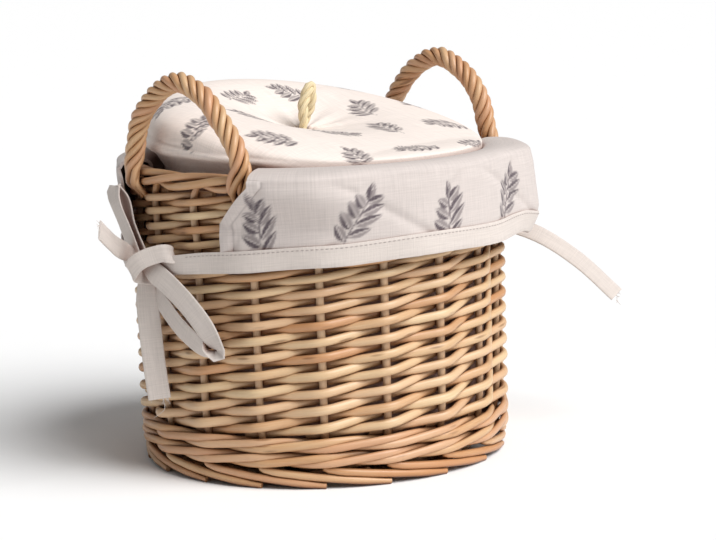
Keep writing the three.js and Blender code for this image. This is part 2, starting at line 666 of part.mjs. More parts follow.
// A bow round its knot: two loops and two ties. Places are degrees round from the knot, distance
// from the axis and height above the knot.
function bowGeometry(flyingTie, height) {
  const knot = new THREE.SphereGeometry(0.5, 8, 6);
  knot.scale(KNOT_DEPTH, KNOT_WIDTH, KNOT_HEIGHT).rotateZ(knotAngle);
  knot.translate(...polar(knotRadius, knotAngle, height));
  const strip = (places, steps, across) => {
    const points = places.map(([turn, radius, z]) => polar(radius, knotAngle + rad(turn), height + z));
    const path = new THREE.CatmullRomCurve3(points).getPoints(steps);
    return sweep(path, () => across.clone(), () => flatSection(TIE_WIDTH, TIE_CLOTH));
  };
  const upper = strip(
    [
      [0, knotRadius + 2, 2],
      [-6, knotRadius + LOOP_WIDTH - 1, 0.5 * LOOP_RISE],
      [-10, knotRadius + LOOP_WIDTH + 2, 0.92 * LOOP_RISE],
      [-11.5, knotRadius + LOOP_WIDTH, LOOP_RISE],
      [-10.5, knotRadius + LOOP_WIDTH / 2, 0.92 * LOOP_RISE],
      [-6.5, knotRadius + 1, 0.5 * LOOP_RISE],
      [0, knotRadius - 2, 2],
    ],
    10,
    knotAlong,
  );
  const lower = strip(
    [
      [3, knotRadius + 5, 1],
      [10, knotRadius + 4, -0.13 * LOOP_DROP],
      [19, loopFace + 2.5, -0.45 * LOOP_DROP],
      [26, loopFace, -0.82 * LOOP_DROP],
      [28, loopFace - 2, -LOOP_DROP],
      [25, wallFace + 2, -LOOP_DROP],
      [16.5, wallFace + 1, -0.8 * LOOP_DROP],
      [8, wallFace + 1, -0.48 * LOOP_DROP],
      [-1, wallFace + 1, -0.15 * LOOP_DROP],
      [-2, knotRadius - 3, -1],
    ],
    14,
    slanted,
  );
  const hanging = strip(
    [
      [0, knotRadius - 1, -2],
      [0.5, wallFace + TIE_WIDTH * 0.4, -0.24 * TIE_DROP],
      [3, wallFace + TIE_WIDTH * 0.4, -0.77 * TIE_DROP],
      [4.5, wallFace + TIE_WIDTH * 0.4, -TIE_DROP],
    ],
    5,
    swung,
  );
  const flying = strip(flyingTie, 6, upright);
  return join([knot, upper, lower, hanging, flying]);
}

// The left tie stands straight out and up; the right one swings towards the front and droops.
const tieReach = knotRadius + TIE_OUT;
const leftTie = [
  [0, knotRadius, 2],
  [3, lerp(knotRadius, tieReach, 0.35), 13],
  [6, lerp(knotRadius, tieReach, 0.7), 25],
  [8.1, tieReach, 34.5],
];
const rightTieTurn = -22.3;
const rightTieEnd = tieReach / Math.cos(rad(KNOT_TURN + rightTieTurn));
const rightTie = [
  [0, knotRadius, -3],
  [-7, lerp(knotRadius, rightTieEnd, 0.15), -8],
  [-13, lerp(knotRadius, rightTieEnd, 0.35), -18],
  [-18, lerp(knotRadius, rightTieEnd, 0.66), -37],
  [rightTieTurn, rightTieEnd, -61],
];

for (const [face, side, turn, tie] of [
  ["front", "left", 0, leftTie],
  ["back", "right", Math.PI, rightTie],
]) {
  const group = new THREE.Group();
  group.rotation.z = turn;
  basket.add(group);
  const flap = cloth((u, v) => flapPoint(u, v, turn), 18, FLAP_STEPS, LINER_CLOTH);
  const knotHeight = bindingHeight + hemLift(knotAngle + turn) - KNOT_HANG;
  add(group, `flap_${face}`, flap, linen);
  add(group, `binding_${face}`, bindingGeometry(turn), tape);
  add(group, `bow_${side}`, bowGeometry(tie, knotHeight), tape);
}

// Lid: a round cushion with a plug that drops into the mouth. A fitted top cover and a flat base
// cover enclose the filling, and a rope pull passes through the middle to a knot below.
const mouth = flapInner - LINER_CLOTH / 2;
const plugRadius = mouth * Math.cos(TURN / 2 / ROUND_STEPS) - LID_FIT;
const bulge = plugRadius + LID_OVERHANG;
const lidFloor = WALL_HEIGHT - LID_PLUG;
const foldFace = [Math.PI, Math.PI * (1 - 1 / FOLD_STEPS)].map((angle) => {
  const middle = new THREE.Vector2(foldHalf * Math.cos(angle), foldRise * Math.sin(angle));
  const normal = new THREE.Vector2(foldRise * Math.cos(angle), foldHalf * Math.sin(angle)).normalize();
  middle.addScaledVector(normal, LINER_CLOTH / 2);
  return new THREE.Vector2(foldMiddle + middle.x, foldBase + middle.y);
});
const seatSlope = (foldFace[1].y - foldFace[0].y) / (foldFace[1].x - foldFace[0].x);
const seatLift = LID_REST_GAP * Math.hypot(1, seatSlope);
const lidSeat = foldFace[0].y + (bulge - foldFace[0].x) * seatSlope + seatLift;
const crown = WALL_HEIGHT + LID_CROWN;
const dimple = WALL_HEIGHT + LID_DIMPLE;
const pullLeg = PULL_ROPE / 2 + SEAM_GAP;
const pullHole = pullLeg + PULL_ROPE / 2 + SEAM_GAP;
const lidGroup = new THREE.Group();
basket.add(lidGroup);

const LOWER_POINTS = 4; // of the cushion's section, below its side

// The cushion in section from the rope hole over the crown to the lower edge of the plug,
// drawn in by the given depth below its surface.
function cushionSection(depth) {
  const rise = crown - lidSeat;
  const side = bulge - LID_CROWN_RADIUS;
  const hollow = new THREE.CubicBezierCurve(
    new THREE.Vector2(pullHole + depth, dimple - depth),
    new THREE.Vector2(lerp(pullHole, LID_CROWN_RADIUS, 0.45), lerp(dimple, crown, 0.45) - depth),
    new THREE.Vector2(lerp(pullHole, LID_CROWN_RADIUS, 0.65), crown - depth),
    new THREE.Vector2(LID_CROWN_RADIUS, crown - depth),
  ).getPoints(3);
  const shoulder = Array.from({ length: 4 }, (_, step) => {
    const angle = (Math.PI / 2) * ((step + 1) / 4);
    const radius = LID_CROWN_RADIUS + (side - depth) * Math.sin(angle);
    const height = (rise - LID_SIDE - depth) * Math.cos(angle) ** 0.8;
    return new THREE.Vector2(radius, lidSeat + LID_SIDE + height);
  });
  const lower = [
    new THREE.Vector2(bulge - depth, lidSeat + depth / 2),
    new THREE.Vector2(plugRadius - depth, lidSeat - LID_OVERHANG * seatSlope + depth / 2),
    new THREE.Vector2(plugRadius - depth, lidFloor + 5),
    new THREE.Vector2(plugRadius - 3.5 - depth, lidFloor + LID_CLOTH + SEAM_GAP),
  ];
  return [...hollow, ...shoulder, ...lower].map((point) => [point.x, point.y]);
}

// Height of the cushion's surface above its seat at a distance from the axis.
function cushionHeight(radius) {
  const top = cushionSection(0).slice(0, -LOWER_POINTS);
  const next = top.findIndex(([reach]) => reach > radius);
  if (next < 1) return top.at(next === 0 ? 0 : -1)[1] - lidSeat;
  const [[from, low], [to, high]] = [top[next - 1], top[next]];
  return lerp(low, high, (radius - from) / (to - from)) - lidSeat;
}

// The filling has settled to one side of the lid.
function settled(geometry) {
  const position = geometry.attributes.position;
  const [x, y] = [Math.cos(rad(LID_SETTLE_TURN)), Math.sin(rad(LID_SETTLE_TURN))];
  for (let i = 0; i < position.count; i += 1) {
    const [east, north, z] = [position.getX(i), position.getY(i), position.getZ(i)];
    const fill = Math.max(1 + (LID_SETTLE * (east * x + north * y)) / bulge, LID_THIN);
    const height = cushionHeight(Math.hypot(east, north)) * clamp((z - lidSeat) / LID_SIDE, 0, 1);
    position.setZ(i, z + height * (fill - 1));
  }
  geometry.computeVertexNormals();
  return geometry;
}

function lidPad() {
  const section = cushionSection(LID_CLOTH + LID_LOOSE);
  const [innerFoot, outerFoot] = [section[0][0], section.at(-1)[0]];
  const floor = lidFloor + LID_CLOTH + SEAM_GAP;
  return settled(lathe([...section.slice(0, -1), [outerFoot, floor], [innerFoot, floor]]));
}

function lidTopCover() {
  return settled(lathe([...cushionSection(0), ...cushionSection(LID_CLOTH).reverse()]));
}

function lidBaseCover() {
  const edge = plugRadius - 3.5;
  return lathe([
    [pullHole, lidFloor],
    [edge, lidFloor],
    [edge, lidFloor + LID_CLOTH],
    [pullHole, lidFloor + LID_CLOTH],
  ]);
}

function ropePull() {
  const knotTop = lidFloor - SEAM_GAP;
  const top = dimple + PULL_RISE - PULL_ROPE / 2;
  const wide = pullLeg * 1.2;
  const route = new THREE.CatmullRomCurve3(
    [
      [-pullLeg, knotTop - PULL_KNOT_HEIGHT / 2],
      [-pullLeg, lerp(knotTop, dimple, 0.6)],
      [-pullLeg, dimple],
      [-wide, lerp(dimple, top, 0.6)],
      [0, top],
      [wide, lerp(dimple, top, 0.6)],
      [pullLeg, dimple],
      [pullLeg, lerp(knotTop, dimple, 0.6)],
      [pullLeg, knotTop - PULL_KNOT_HEIGHT / 2],
    ].map(([x, z]) => new THREE.Vector3(x, -PULL_LEAN * Math.max((z - dimple) / PULL_RISE, 0), z)),
  );
  const section = roundSection(PULL_ROPE, 8);
  const loop = sweep(route.getPoints(18), () => new THREE.Vector3(0, 1, 0), () => section);
  const knot = new THREE.SphereGeometry(0.5, 8, 6).rotateX(Math.PI / 2);
  knot.scale(PULL_KNOT, PULL_KNOT, PULL_KNOT_HEIGHT);
  knot.translate(0, 0, knotTop - PULL_KNOT_HEIGHT / 2);
  return join([loop, knot]).rotateZ(rad(PULL_TURN));
}

add(lidGroup, "lid_pad", lidPad(), filling);
add(lidGroup, "lid_top_cover", lidTopCover(), lidLinen);
add(lidGroup, "lid_base_cover", lidBaseCover(), linen);
add(lidGroup, "lid_rope_pull", ropePull(), straw);

export default basket;
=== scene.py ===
"""Looks of a lined wicker potato basket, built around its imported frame."""

import math
from types import SimpleNamespace

import bpy
import numpy as np
from bpy.props import FloatProperty, FloatVectorProperty, IntProperty, PointerProperty
from mathutils import Matrix, Vector


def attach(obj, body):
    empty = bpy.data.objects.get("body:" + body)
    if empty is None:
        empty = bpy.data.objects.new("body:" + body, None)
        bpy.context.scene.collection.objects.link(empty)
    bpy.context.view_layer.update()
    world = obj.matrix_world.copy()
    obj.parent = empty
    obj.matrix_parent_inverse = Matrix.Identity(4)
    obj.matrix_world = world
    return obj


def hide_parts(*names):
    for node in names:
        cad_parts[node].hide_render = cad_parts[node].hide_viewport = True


bl_info = {
    "name": "Lined potato basket",
    "version": (1, 0, 0),
    "blender": (4, 5, 0),
    "location": "3D View > Sidebar > Basket",
    "description": "Builds a woven basket with a tied liner and a padded lid",
    "category": "Object",
}

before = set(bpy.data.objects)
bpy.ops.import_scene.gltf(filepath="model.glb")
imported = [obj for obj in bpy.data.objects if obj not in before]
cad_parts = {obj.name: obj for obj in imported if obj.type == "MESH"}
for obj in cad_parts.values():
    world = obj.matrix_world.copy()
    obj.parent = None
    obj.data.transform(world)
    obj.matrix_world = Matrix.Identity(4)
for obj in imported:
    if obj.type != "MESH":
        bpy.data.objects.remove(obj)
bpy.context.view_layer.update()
TAU = 2 * math.pi
UP = np.array([0, 0, 1.0])

# In the values below, lengths are in metres, angles in degrees, and the rest are shares or counts

# Foot border: spaces that a stake's lower end runs along, its flare and its flat
FOOT_SPACES = 2
FOOT_FLARE = 0.003
FOOT_FLAT = 0.0005

# Rolled border in section: spaces run along, then rod pitches out and up from the stake's top
BORDER_ROUTE = (
    (0.5, 0.39, -0.21),
    (1, 1, 0.18),
    (1.5, 0.93, 0.89),
    (2, 0.16, 1.25),
    (2.5, -0.43, 1.14),
    (3, -0.89, 0.64),
)

# Wale: how far a rod stands from the stakes and above its round, over a run of three stakes
WALE_ROUTE = ((-1, 0), (0, -0.56), (1, -0.56), (1, 0), (1, 0.56), (0, 0.56))
WALE_START = 3
WALE_STEP = 2

# Clearances between pieces, and the least radius of the liner's mouth as a share of its radius
CLOTH_GAP = 0.0004
LID_FIT = 0.001
LID_REST_GAP = 0.00055
TIE_SLACK = 0.0014
MOUTH_FLATS = 0.9937

# First seeds of the random draws, and steps along the paths of rods and cloth
STAKE_SEED = 100
WALE_SEED = 200
WEAVER_SEED = 300
STICK_SEED = 400
BASE_WEAVER_SEED = 430
HANDLE_SEED = 500
BOW_SEEDS = {"left": 604, "right": 605}
ROD_STEP = 0.005
WEAVER_STEP = 0.004
BASE_STEP = 0.006
HANDLE_STEP = 0.0021
BAG_STEP = 0.004


def linear(hex_colour):
    """Turns an sRGB hex colour into linear red, green and blue."""
    parts = [int(hex_colour[i : i + 2], 16) / 255 for i in (1, 3, 5)]
    return [p / 12.92 if p <= 0.04045 else ((p + 0.055) / 1.055) ** 2.4 for p in parts]


def length(name, description, default):
    """A length property, in metres."""
    return FloatProperty(
        name=name, description=description, default=default, min=0, unit="LENGTH", precision=4
    )


def angle(name, description, degrees):
    """An angle property, given in degrees."""
    return FloatProperty(
        name=name, description=description, default=math.radians(degrees), subtype="ANGLE"
    )


def colour(name, description, hex_colour):
    """A colour property, given as an sRGB hex value."""
    return FloatVectorProperty(
        name=name,
        description=description,
        default=linear(hex_colour),
        size=3,
        min=0,
        max=1,
        subtype="COLOR",
    )


class WickerSizes(bpy.types.PropertyGroup):
    """Sizes of the willow work."""

    wall_height: length("Wall height", "Floor to the top of the rolled border", 0.2235)
    rim_radius: length("Rim radius", "Axis to the stakes at the border", 0.133)
    foot_radius: length("Foot radius", "Axis to the stakes at the foot", 0.131)
    stake_count: IntProperty(name="Stakes", description="Upright rods", default=18, min=6)
    stake_turn: angle("Stake turn", "From +X to the first stake", 7)
    stake_rod: length("Stake rod", "Diameter of a stake", 0.0052)
    weaver_butt: length("Weaver butt", "Diameter of a weaver's thick end", 0.0059)
    weaver_tip: length("Weaver tip", "Diameter of a weaver's thin end", 0.0043)
    wale_rod: length("Wale rod", "Diameter of the rods twined above the foot", 0.0042)
    rod_gap: length("Rod gap", "Clearance between rods that lie on each other", 0.0004)
    base_stick: length("Base stick", "Diameter of the crossed sticks", 0.006)
    base_weaver: length("Base weaver", "Diameter of the rods woven round the sticks", 0.0055)
    base_lift: length("Base lift", "Floor to the underside of the base", 0.001)
    handle_span: length("Handle span", "Between the middles of the two feet", 0.114)
    handle_rise: length("Handle rise", "Border to the top of the handle", 0.0707)
    handle_rope: length("Handle rope", "Thickness of the twisted rods", 0.015)
    handle_shift: angle("Handle shift", "From the X axis to the left handle's middle", 2)
    handle_lay: length("Handle lay", "Length of one full twist", 0.044)
    handle_strands: IntProperty(name="Strands", description="Rods in a handle", default=5, min=3)
    handle_foot_width: length("Foot width", "Width of the fanned strands", 0.021)
    handle_foot_depth: length("Foot depth", "Depth of the fanned strands", 0.0084)
    handle_tuck: length("Handle tuck", "How far the feet reach down over the border", 0.021)
    handle_seat: length("Handle seat", "How far the feet settle into the border", 0.0005)


class LinerSizes(bpy.types.PropertyGroup):
    """Sizes of the cloth liner and its ties."""

    cloth: length("Cloth", "Thickness of the lined and wadded cloth", 0.0022)
    bag_top: length("Bag seam", "Seam of bag and flap below the top of the border", 0.011)
    fold_rise: length("Fold rise", "Top of the fold above the top of the border", 0.0045)
    flap_drop: length("Flap drop", "Hem of the flap below the top of the border", 0.0647)
    flap_slack: length("Flap slack", "Looseness of the flap outside the border", 0.0045)
    flap_flare: length("Flap flare", "How much further out the flap hangs at its hem", 0.0025)
    flap_sway: length("Flap sway", "How far the hems have slid over towards +X", 0.006)
    flap_stand: length("Flap stand", "How far its ends stand out over the handles' feet", 0.0125)
    hem_tilt: length("Hem tilt", "How far the hem rises to one side and falls to the other", 0.0061)
    corner_sag: length("Corner sag", "How much lower the hem hangs at the flaps' ends", 0.0025)
    hem_turn: angle("Hem turn", "From +X to the side where the hem is highest", -60)
    side_hem: length("Side hem", "Width of the hem folded along a flap's ends", 0.0085)
    binding_width: length("Binding", "Width of the band sewn round the hem", 0.015)
    binding_cloth: length("Binding cloth", "Thickness of the band", 0.0016)
    knot_turn: angle("Knot turn", "From the handle's middle to the knot", -9.5)
    knot_depth: length("Knot depth", "Depth of a knot", 0.015)
    knot_hang: length("Knot hang", "How far a knot hangs below the middle of the band", 0.005)
    tie_width: length("Tie width", "Width of a tie", 0.015)
    tie_cloth: length("Tie cloth", "Thickness of a tie", 0.0018)
    motif: length("Motif", "Height of a printed sprig", 0.047)
    quilt: length("Quilting", "Distance between lines of quilting", 0.062)


class LidSizes(bpy.types.PropertyGroup):
    """Sizes of the padded lid."""

    plug: length("Plug", "Depth of the plug below the top of the border", 0.018)
    overhang: length("Overhang", "How far the cushion bulges past its plug", 0.0032)
    side: length("Side", "Upright side between the seat and the shoulder", 0.012)
    crown: length("Crown", "Height of the crown above the top of the border", 0.0325)
    crown_radius: length("Crown radius", "Axis to the highest ring of the crown", 0.080)
    dimple: length("Dimple", "Height of the middle above the top of the border", 0.0185)
    settle: FloatProperty(
        name="Settle", description="Share by which one side is fuller", default=0.9, min=0, max=1
    )
    settle_turn: angle("Settle turn", "From +X to the fuller side", 98)
    thin: FloatProperty(
        name="Thin", description="Least share of the filling at the thin side", default=0.3, min=0, max=1
    )
    cloth: length("Cloth", "Thickness of the covers", 0.0016)
    pull_rope: length("Pull rope", "Diameter of the rope pull", 0.0084)
    pull_rise: length("Pull rise", "Top of the pull above the dimple", 0.036)
    pull_turn: angle("Pull turn", "From +X to the plane of the pull's loop", 16)
    pull_draw: length("Pull draw", "How far the pull's hole is drawn off the middle", 0.009)
    pull_draw_turn: angle("Draw turn", "From +X to the side that the hole is drawn to", 137)
    loose: length("Loose", "Looseness of the cover over the filling", 0.0012)
    pull_knot: length("Pull knot", "Diameter of the knot below the lid", 0.024)
    pull_knot_height: length("Knot height", "Height of the knot below the lid", 0.013)


class BasketColours(bpy.types.PropertyGroup):
    """Colours of the materials."""

    willow_pale: colour("Pale willow", "Palest rods", "#e2caa2")
    willow_dark: colour("Dark willow", "Darkest rods", "#bd8a5e")
    willow_pink: colour("Pink willow", "Rods with a blush", "#cfa182")
    scar: colour("Bud scar", "Flecks on the rods", "#6f4526")
    # Honey and Crevice are painted shade that the rods' occlusion lays on where other rods are near;
    # honey is partly varnish gathered there
    honey: colour("Honey", "Varnish gathered beside other rods", "#aa713e")
    crevice_shade: colour("Crevice", "Stain and dust between the rods", "#683a22")
    # Hollow is painted shade, laid on cloth that lies close behind something
    hollow: colour("Hollow", "Cloth deep in a fold or behind the rods", "#875039")
    linen: colour("Linen", "Liner", "#cbc1bc")
    tape: colour("Tape", "Binding and bows", "#d1c7c0")
    lid_linen: colour("Lid linen", "Cover of the lid", "#efe3db")
    ink: colour("Ink", "Printed sprigs", "#463a44")
    straw: colour("Straw", "Rope pull", "#ecdab2")
    filling: colour("Filling", "Wadding of the lid", "#f2efe8")
    floor: colour("Floor", "Studio floor", "#fbfbfb")


def lerp(a, b, share):
    """A value between a and b."""
    return a + (b - a) * share


def smoothstep(x, low, high):
    """0 below low, 1 above high, smooth between."""
    t = np.clip((np.asarray(x, float) - low) / (high - low), 0, 1)
    return t * t * (3 - 2 * t)


def falling(x, low, high):
    """1 below low, 0 above high, smooth between."""
    return smoothstep(-np.asarray(x, float), -high, -low)


def bump(x, middle, width):
    """1 at the middle, falling off on both sides over about the width."""
    return np.exp(-(((x - middle) / width) ** 2))


def polar(radius, turn, z):
    """Points at a distance from the basket's axis, an angle and a height."""
    radius, turn, z = np.broadcast_arrays(*np.atleast_1d(radius, turn, z))
    return np.stack([radius * np.cos(turn), radius * np.sin(turn), z], axis=-1)


def unit(vectors):
    """The vectors at length 1."""
    return vectors / np.linalg.norm(vectors, axis=-1, keepdims=True)


def outward(points):
    """Level unit vectors that point away from the basket's axis."""
    return unit(points * np.array([1, 1, 0]))


def run_length(path):
    """Distance along a path to each of its points."""
    return np.concatenate([[0], np.cumsum(np.linalg.norm(np.diff(path, axis=0), axis=1))])


def smooth_path(points, spacing):
    """A smooth curve through the points, with steps of about the given spacing."""
    points = np.asarray(points, float)
    step = np.linalg.norm(np.diff(points, axis=0), axis=1)[:, None]
    slope = np.diff(points, axis=0) / step
    inner = (slope[:-1] * step[1:] + slope[1:] * step[:-1]) / (step[:-1] + step[1:])
    tangent = np.concatenate([slope[:1], inner, slope[-1:]])
    curve = []
    for i, size in enumerate(step[:, 0]):
        count = max(2, math.ceil(size / spacing))
        t = (np.arange(count) / count)[:, None]
        curve.append(
            (2 * t**3 - 3 * t**2 + 1) * points[i]
            + (t**3 - 2 * t**2 + t) * size * tangent[i]
            + (3 * t**2 - 2 * t**3) * points[i + 1]
            + (t**3 - t**2) * size * tangent[i + 1]
        )
    return np.concatenate([*curve, points[-1:]])


def bent_path(points, spacing):
    """Straight runs from point to point, with steps of about the given spacing."""
    along = run_length(points)
    even = np.linspace(0, along[-1], math.ceil(along[-1] / spacing) + 1)
    return np.stack([np.interp(even, along, points[:, i]) for i in range(3)], axis=-1)


def wander(rng, count, turns, amount):
    """A smooth random course of values round 0, with about the given number of turns."""
    knots = rng.normal(0, amount, max(2, int(turns)) + 2)
    place = np.linspace(0, len(knots) - 1, count)
    low = np.minimum(place.astype(int), len(knots) - 2)
    share = smoothstep(place - low, 0, 1)
    return lerp(knots[low], knots[low + 1], share)


def fits(scene):
    """Heights and radii that the pieces share, worked out from the sizes."""
    w, c, d = scene.basket_wicker, scene.basket_liner, scene.basket_lid
    f = SimpleNamespace(w=w, c=c, d=d)
    f.space = TAU / w.stake_count
    f.pitch = w.stake_rod + w.rod_gap
    f.foot_high = w.stake_rod / 2 - FOOT_FLAT + FOOT_SPACES * f.pitch
    f.foot_top = f.foot_high + w.stake_rod / 2
    f.foot_run = w.foot_radius + FOOT_FLARE
    out = [step[1] * f.pitch for step in BORDER_ROUTE]
    up = [step[2] * f.pitch for step in BORDER_ROUTE]
    f.stake_top = w.wall_height - max(up) - w.stake_rod / 2
    f.border_outer = w.rim_radius + max(out) + w.stake_rod / 2
    f.border_inner = w.rim_radius + min(out) - w.stake_rod / 2
    lift = max(step[1] for step in WALE_ROUTE) * w.wale_rod
    f.wale_round = 2 * lift + w.wale_rod + w.rod_gap
    f.wale_low = f.foot_top + w.rod_gap + w.wale_rod / 2 + lift
    f.weave_low = f.wale_low + f.wale_round + lift + w.wale_rod / 2 + w.rod_gap + w.weaver_butt / 2
    f.weave_high = f.stake_top + min(up) - (w.stake_rod + w.weaver_tip) / 2 - w.rod_gap
    mean_pitch = (w.weaver_butt + w.weaver_tip) / 2 + w.rod_gap
    f.levels = 2 * math.floor((f.weave_high - f.weave_low) / mean_pitch / 2)
    f.base_offset = (w.base_stick + w.base_weaver) / 2 + w.rod_gap
    f.base_level = w.base_lift + w.base_weaver / 2 + f.base_offset
    f.spoke_end = f.foot_run - w.stake_rod / 2 - w.rod_gap
    f.handle_top = w.wall_height + w.handle_rise - w.handle_rope / 2
    foot = f.border_outer * math.cos(f.space / 4) - w.handle_seat + w.handle_foot_depth / 2
    f.handle_plane = math.sqrt(foot**2 - (w.handle_span / 2) ** 2)
    f.bag_floor = f.base_level + f.base_offset + w.base_weaver / 2 + CLOTH_GAP
    f.bag_high = w.wall_height - c.bag_top
    woven_inner = stake_radius(f, f.weave_low) - w.stake_rod / 2 - w.rod_gap - w.weaver_butt
    f.bag_low_radius = woven_inner - CLOTH_GAP
    f.bag_high_radius = f.border_inner - CLOTH_GAP
    f.flap_inner = f.bag_high_radius - c.cloth / 2
    f.flap_outer = f.border_outer + c.flap_slack + c.cloth / 2
    f.flap_hem = w.wall_height - c.flap_drop
    f.fold_middle = (f.flap_inner + f.flap_outer) / 2
    f.fold_half = (f.flap_outer - f.flap_inner) / 2
    f.fold_base = w.wall_height - w.stake_rod / 2
    f.fold_rise = w.wall_height + c.fold_rise - c.cloth / 2 - f.fold_base
    f.knot_turn = math.pi + c.knot_turn
    f.band_height = f.flap_hem + c.binding_width / 2
    f.binding_out = c.cloth / 2 + 2 * CLOTH_GAP + c.binding_cloth / 2
    f.knot_radius = f.border_outer + TIE_SLACK + c.knot_depth / 2
    f.tie_face = f.border_outer + TIE_SLACK + c.tie_cloth / 2
    f.plug_radius = (f.flap_inner - c.cloth / 2) * MOUTH_FLATS - LID_FIT
    f.bulge = f.plug_radius + d.overhang
    f.lid_floor = w.wall_height - d.plug
    face = [fold_face(f, turn) for turn in (math.pi, math.pi * 5 / 6)]
    f.seat_slope = (face[1][1] - face[0][1]) / (face[1][0] - face[0][0])
    f.lid_seat = face[0][1] + (f.bulge - face[0][0]) * f.seat_slope
    f.lid_seat += LID_REST_GAP * math.hypot(1, f.seat_slope)
    f.crown = w.wall_height + d.crown
    f.dimple = w.wall_height + d.dimple
    f.pull_leg = d.pull_rope / 2 + CLOTH_GAP
    f.pull_hole = f.pull_leg + d.pull_rope / 2 + CLOTH_GAP
    return f


def stake_turn(f, index):
    """Angle of a stake, or of a place between stakes."""
    return f.w.stake_turn + np.asarray(index, float) * f.space


def stake_radius(f, z):
    """Distance of the stakes from the axis at a height."""
    return lerp(f.w.foot_radius, f.w.rim_radius, z / f.w.wall_height)


def fold_face(f, turn):
    """Radius and height of the fold's outer face at an angle round the fold."""
    middle = np.array([f.fold_half * math.cos(turn), f.fold_rise * math.sin(turn)])
    normal = unit(np.array([f.fold_rise * math.cos(turn), f.fold_half * math.sin(turn)]))
    return np.array([f.fold_middle, f.fold_base]) + middle + normal * f.c.cloth / 2


def round_section(diameters, sides):
    """Round sections, one for every diameter."""
    turn = TAU * np.arange(sides) / sides
    ring = np.stack([np.cos(turn), np.sin(turn)], axis=-1)
    return np.asarray(diameters)[:, None, None] / 2 * ring


# Section of a folded tape: sides, fullness of its edges and faces, and depth, place and width of
# the groove beside its sewn edge
TAPE_SIDES = 16
TAPE_EDGE = 0.45
TAPE_FACE = 0.7
GROOVE_DEPTH = 0.45
GROOVE_PLACE = 0.62
GROOVE_WIDTH = 0.12


def tape_section(width, thickness):
    """The section of a folded tape, with full edges and a groove beside one of them."""
    turn = TAU * np.arange(TAPE_SIDES) / TAPE_SIDES
    x = np.sign(np.cos(turn)) * np.abs(np.cos(turn)) ** TAPE_EDGE
    y = np.sign(np.sin(turn)) * np.abs(np.sin(turn)) ** TAPE_FACE
    groove = 1 - GROOVE_DEPTH * bump(x, GROOVE_PLACE, GROOVE_WIDTH)
    return np.stack([x * width / 2, y * groove * thickness / 2], axis=-1)


def square_to(path, normals):
    """Unit vectors square to a path: the given normals, set square, and those beside them."""
    tangent = unit(np.gradient(path, axis=0))
    normals = np.broadcast_to(normals, path.shape)
    normal = unit(normals - (normals * tangent).sum(-1, keepdims=True) * tangent)
    return normal, np.cross(tangent, normal)


def tube(path, normals, section, tone=0.5):
    """A closed body that carries a section along a path, its first coordinate along the normals."""
    normal, side = square_to(path, normals)
    section = np.broadcast_to(section, (len(path), *np.shape(section)[-2:]))
    points = path[:, None] + normal[:, None] * section[..., :1] + side[:, None] * section[..., 1:]
    rows, sides = points.shape[:2]
    along = np.broadcast_to(run_length(path)[:, None, None], (rows, sides, 1))
    flat = np.concatenate([along, section], axis=-1)
    first = np.arange(sides)
    second = np.roll(first, -1)
    start = (np.arange(rows - 1) * sides)[:, None]
    quads = np.stack(
        [start + first, start + second, start + sides + second, start + sides + first], axis=-1
    )
    faces = quads.reshape(-1, 4).tolist()
    faces += [first[::-1].tolist(), ((rows - 1) * sides + first).tolist()]
    tones = np.broadcast_to(np.reshape(tone, (-1, 1)), (rows, sides))
    return SimpleNamespace(
        points=points.reshape(-1, 3),
        faces=faces,
        flat=flat.reshape(-1, 3),
        tone=tones.ravel(),
        ink=np.zeros(rows * sides),
    )


def grid_faces(rows, columns, closed=False):
    """Quads of a grid of points, closed round its columns if asked."""
    first = np.arange(columns if closed else columns - 1)
    second = (first + 1) % columns
    row = (np.arange(rows - 1) * columns)[:, None]
    ahead = row + columns
    quads = np.stack([row + first, row + second, ahead + second, ahead + first], axis=-1)
    return quads.reshape(-1, 4).tolist()


def cloth(grid, thickness, flat, ink=None):
    """A cloth of even thickness over a grid of points, outer face first."""
    rows, columns = grid.shape[:2]
    normal = unit(np.cross(np.gradient(grid, axis=0), np.gradient(grid, axis=1)))
    points = np.concatenate([grid + normal * thickness / 2, grid - normal * thickness / 2])
    count = rows * columns
    outer = np.array(grid_faces(rows, columns))
    faces = outer[:, ::-1].tolist() + (outer + count).tolist()
    index = np.arange(count).reshape(rows, columns)
    rim = np.concatenate([index[0, :-1], index[:-1, -1], index[-1, :0:-1], index[:0:-1, 0]])
    ahead = np.roll(rim, -1)
    faces += np.stack([rim, ahead, ahead + count, rim + count], axis=-1).tolist()
    print_ink = np.zeros(count) if ink is None else ink.ravel()
    flat = np.concatenate([flat, np.zeros((rows, columns, 3 - flat.shape[-1]))], axis=-1)
    return SimpleNamespace(
        points=points.reshape(-1, 3),
        faces=faces,
        flat=np.tile(flat.reshape(-1, 3), (2, 1)),
        tone=np.full(2 * count, 0.5),
        ink=np.concatenate([print_ink, np.zeros(count)]),
    )


def piece(name, parts, material, replaces, body="basket"):
    """Makes one object of the parts, in the given material, and binds it to the frame."""
    starts = np.cumsum([0] + [len(part.points) for part in parts])
    faces = [[v + s for v in face] for part, s in zip(parts, starts) for face in part.faces]
    mesh = bpy.data.meshes.new(name)
    mesh.from_pydata(np.concatenate([part.points for part in parts]).tolist(), [], faces)
    flat = np.concatenate([part.flat for part in parts]).astype(np.float32)
    mesh.attributes.new("flat", "FLOAT_VECTOR", "POINT").data.foreach_set("vector", flat.ravel())
    for key in ("tone", "ink"):
        values = np.concatenate([getattr(part, key) for part in parts]).astype(np.float32)
        mesh.attributes.new(key, "FLOAT", "POINT").data.foreach_set("value", values)
    mesh.validate()
    mesh.shade_smooth()
    mesh.set_sharp_from_angle(angle=math.radians(60))
    mesh.materials.append(material)
    obj = bpy.data.objects.new(name, mesh)
    bpy.context.scene.collection.objects.link(obj)
    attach(obj, body)
    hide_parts(*replaces)
    return obj


# Places of the sockets that a Mix node has for colours
MIX_FROM = 6
MIX_TO = 7
MIX_RESULT = 2


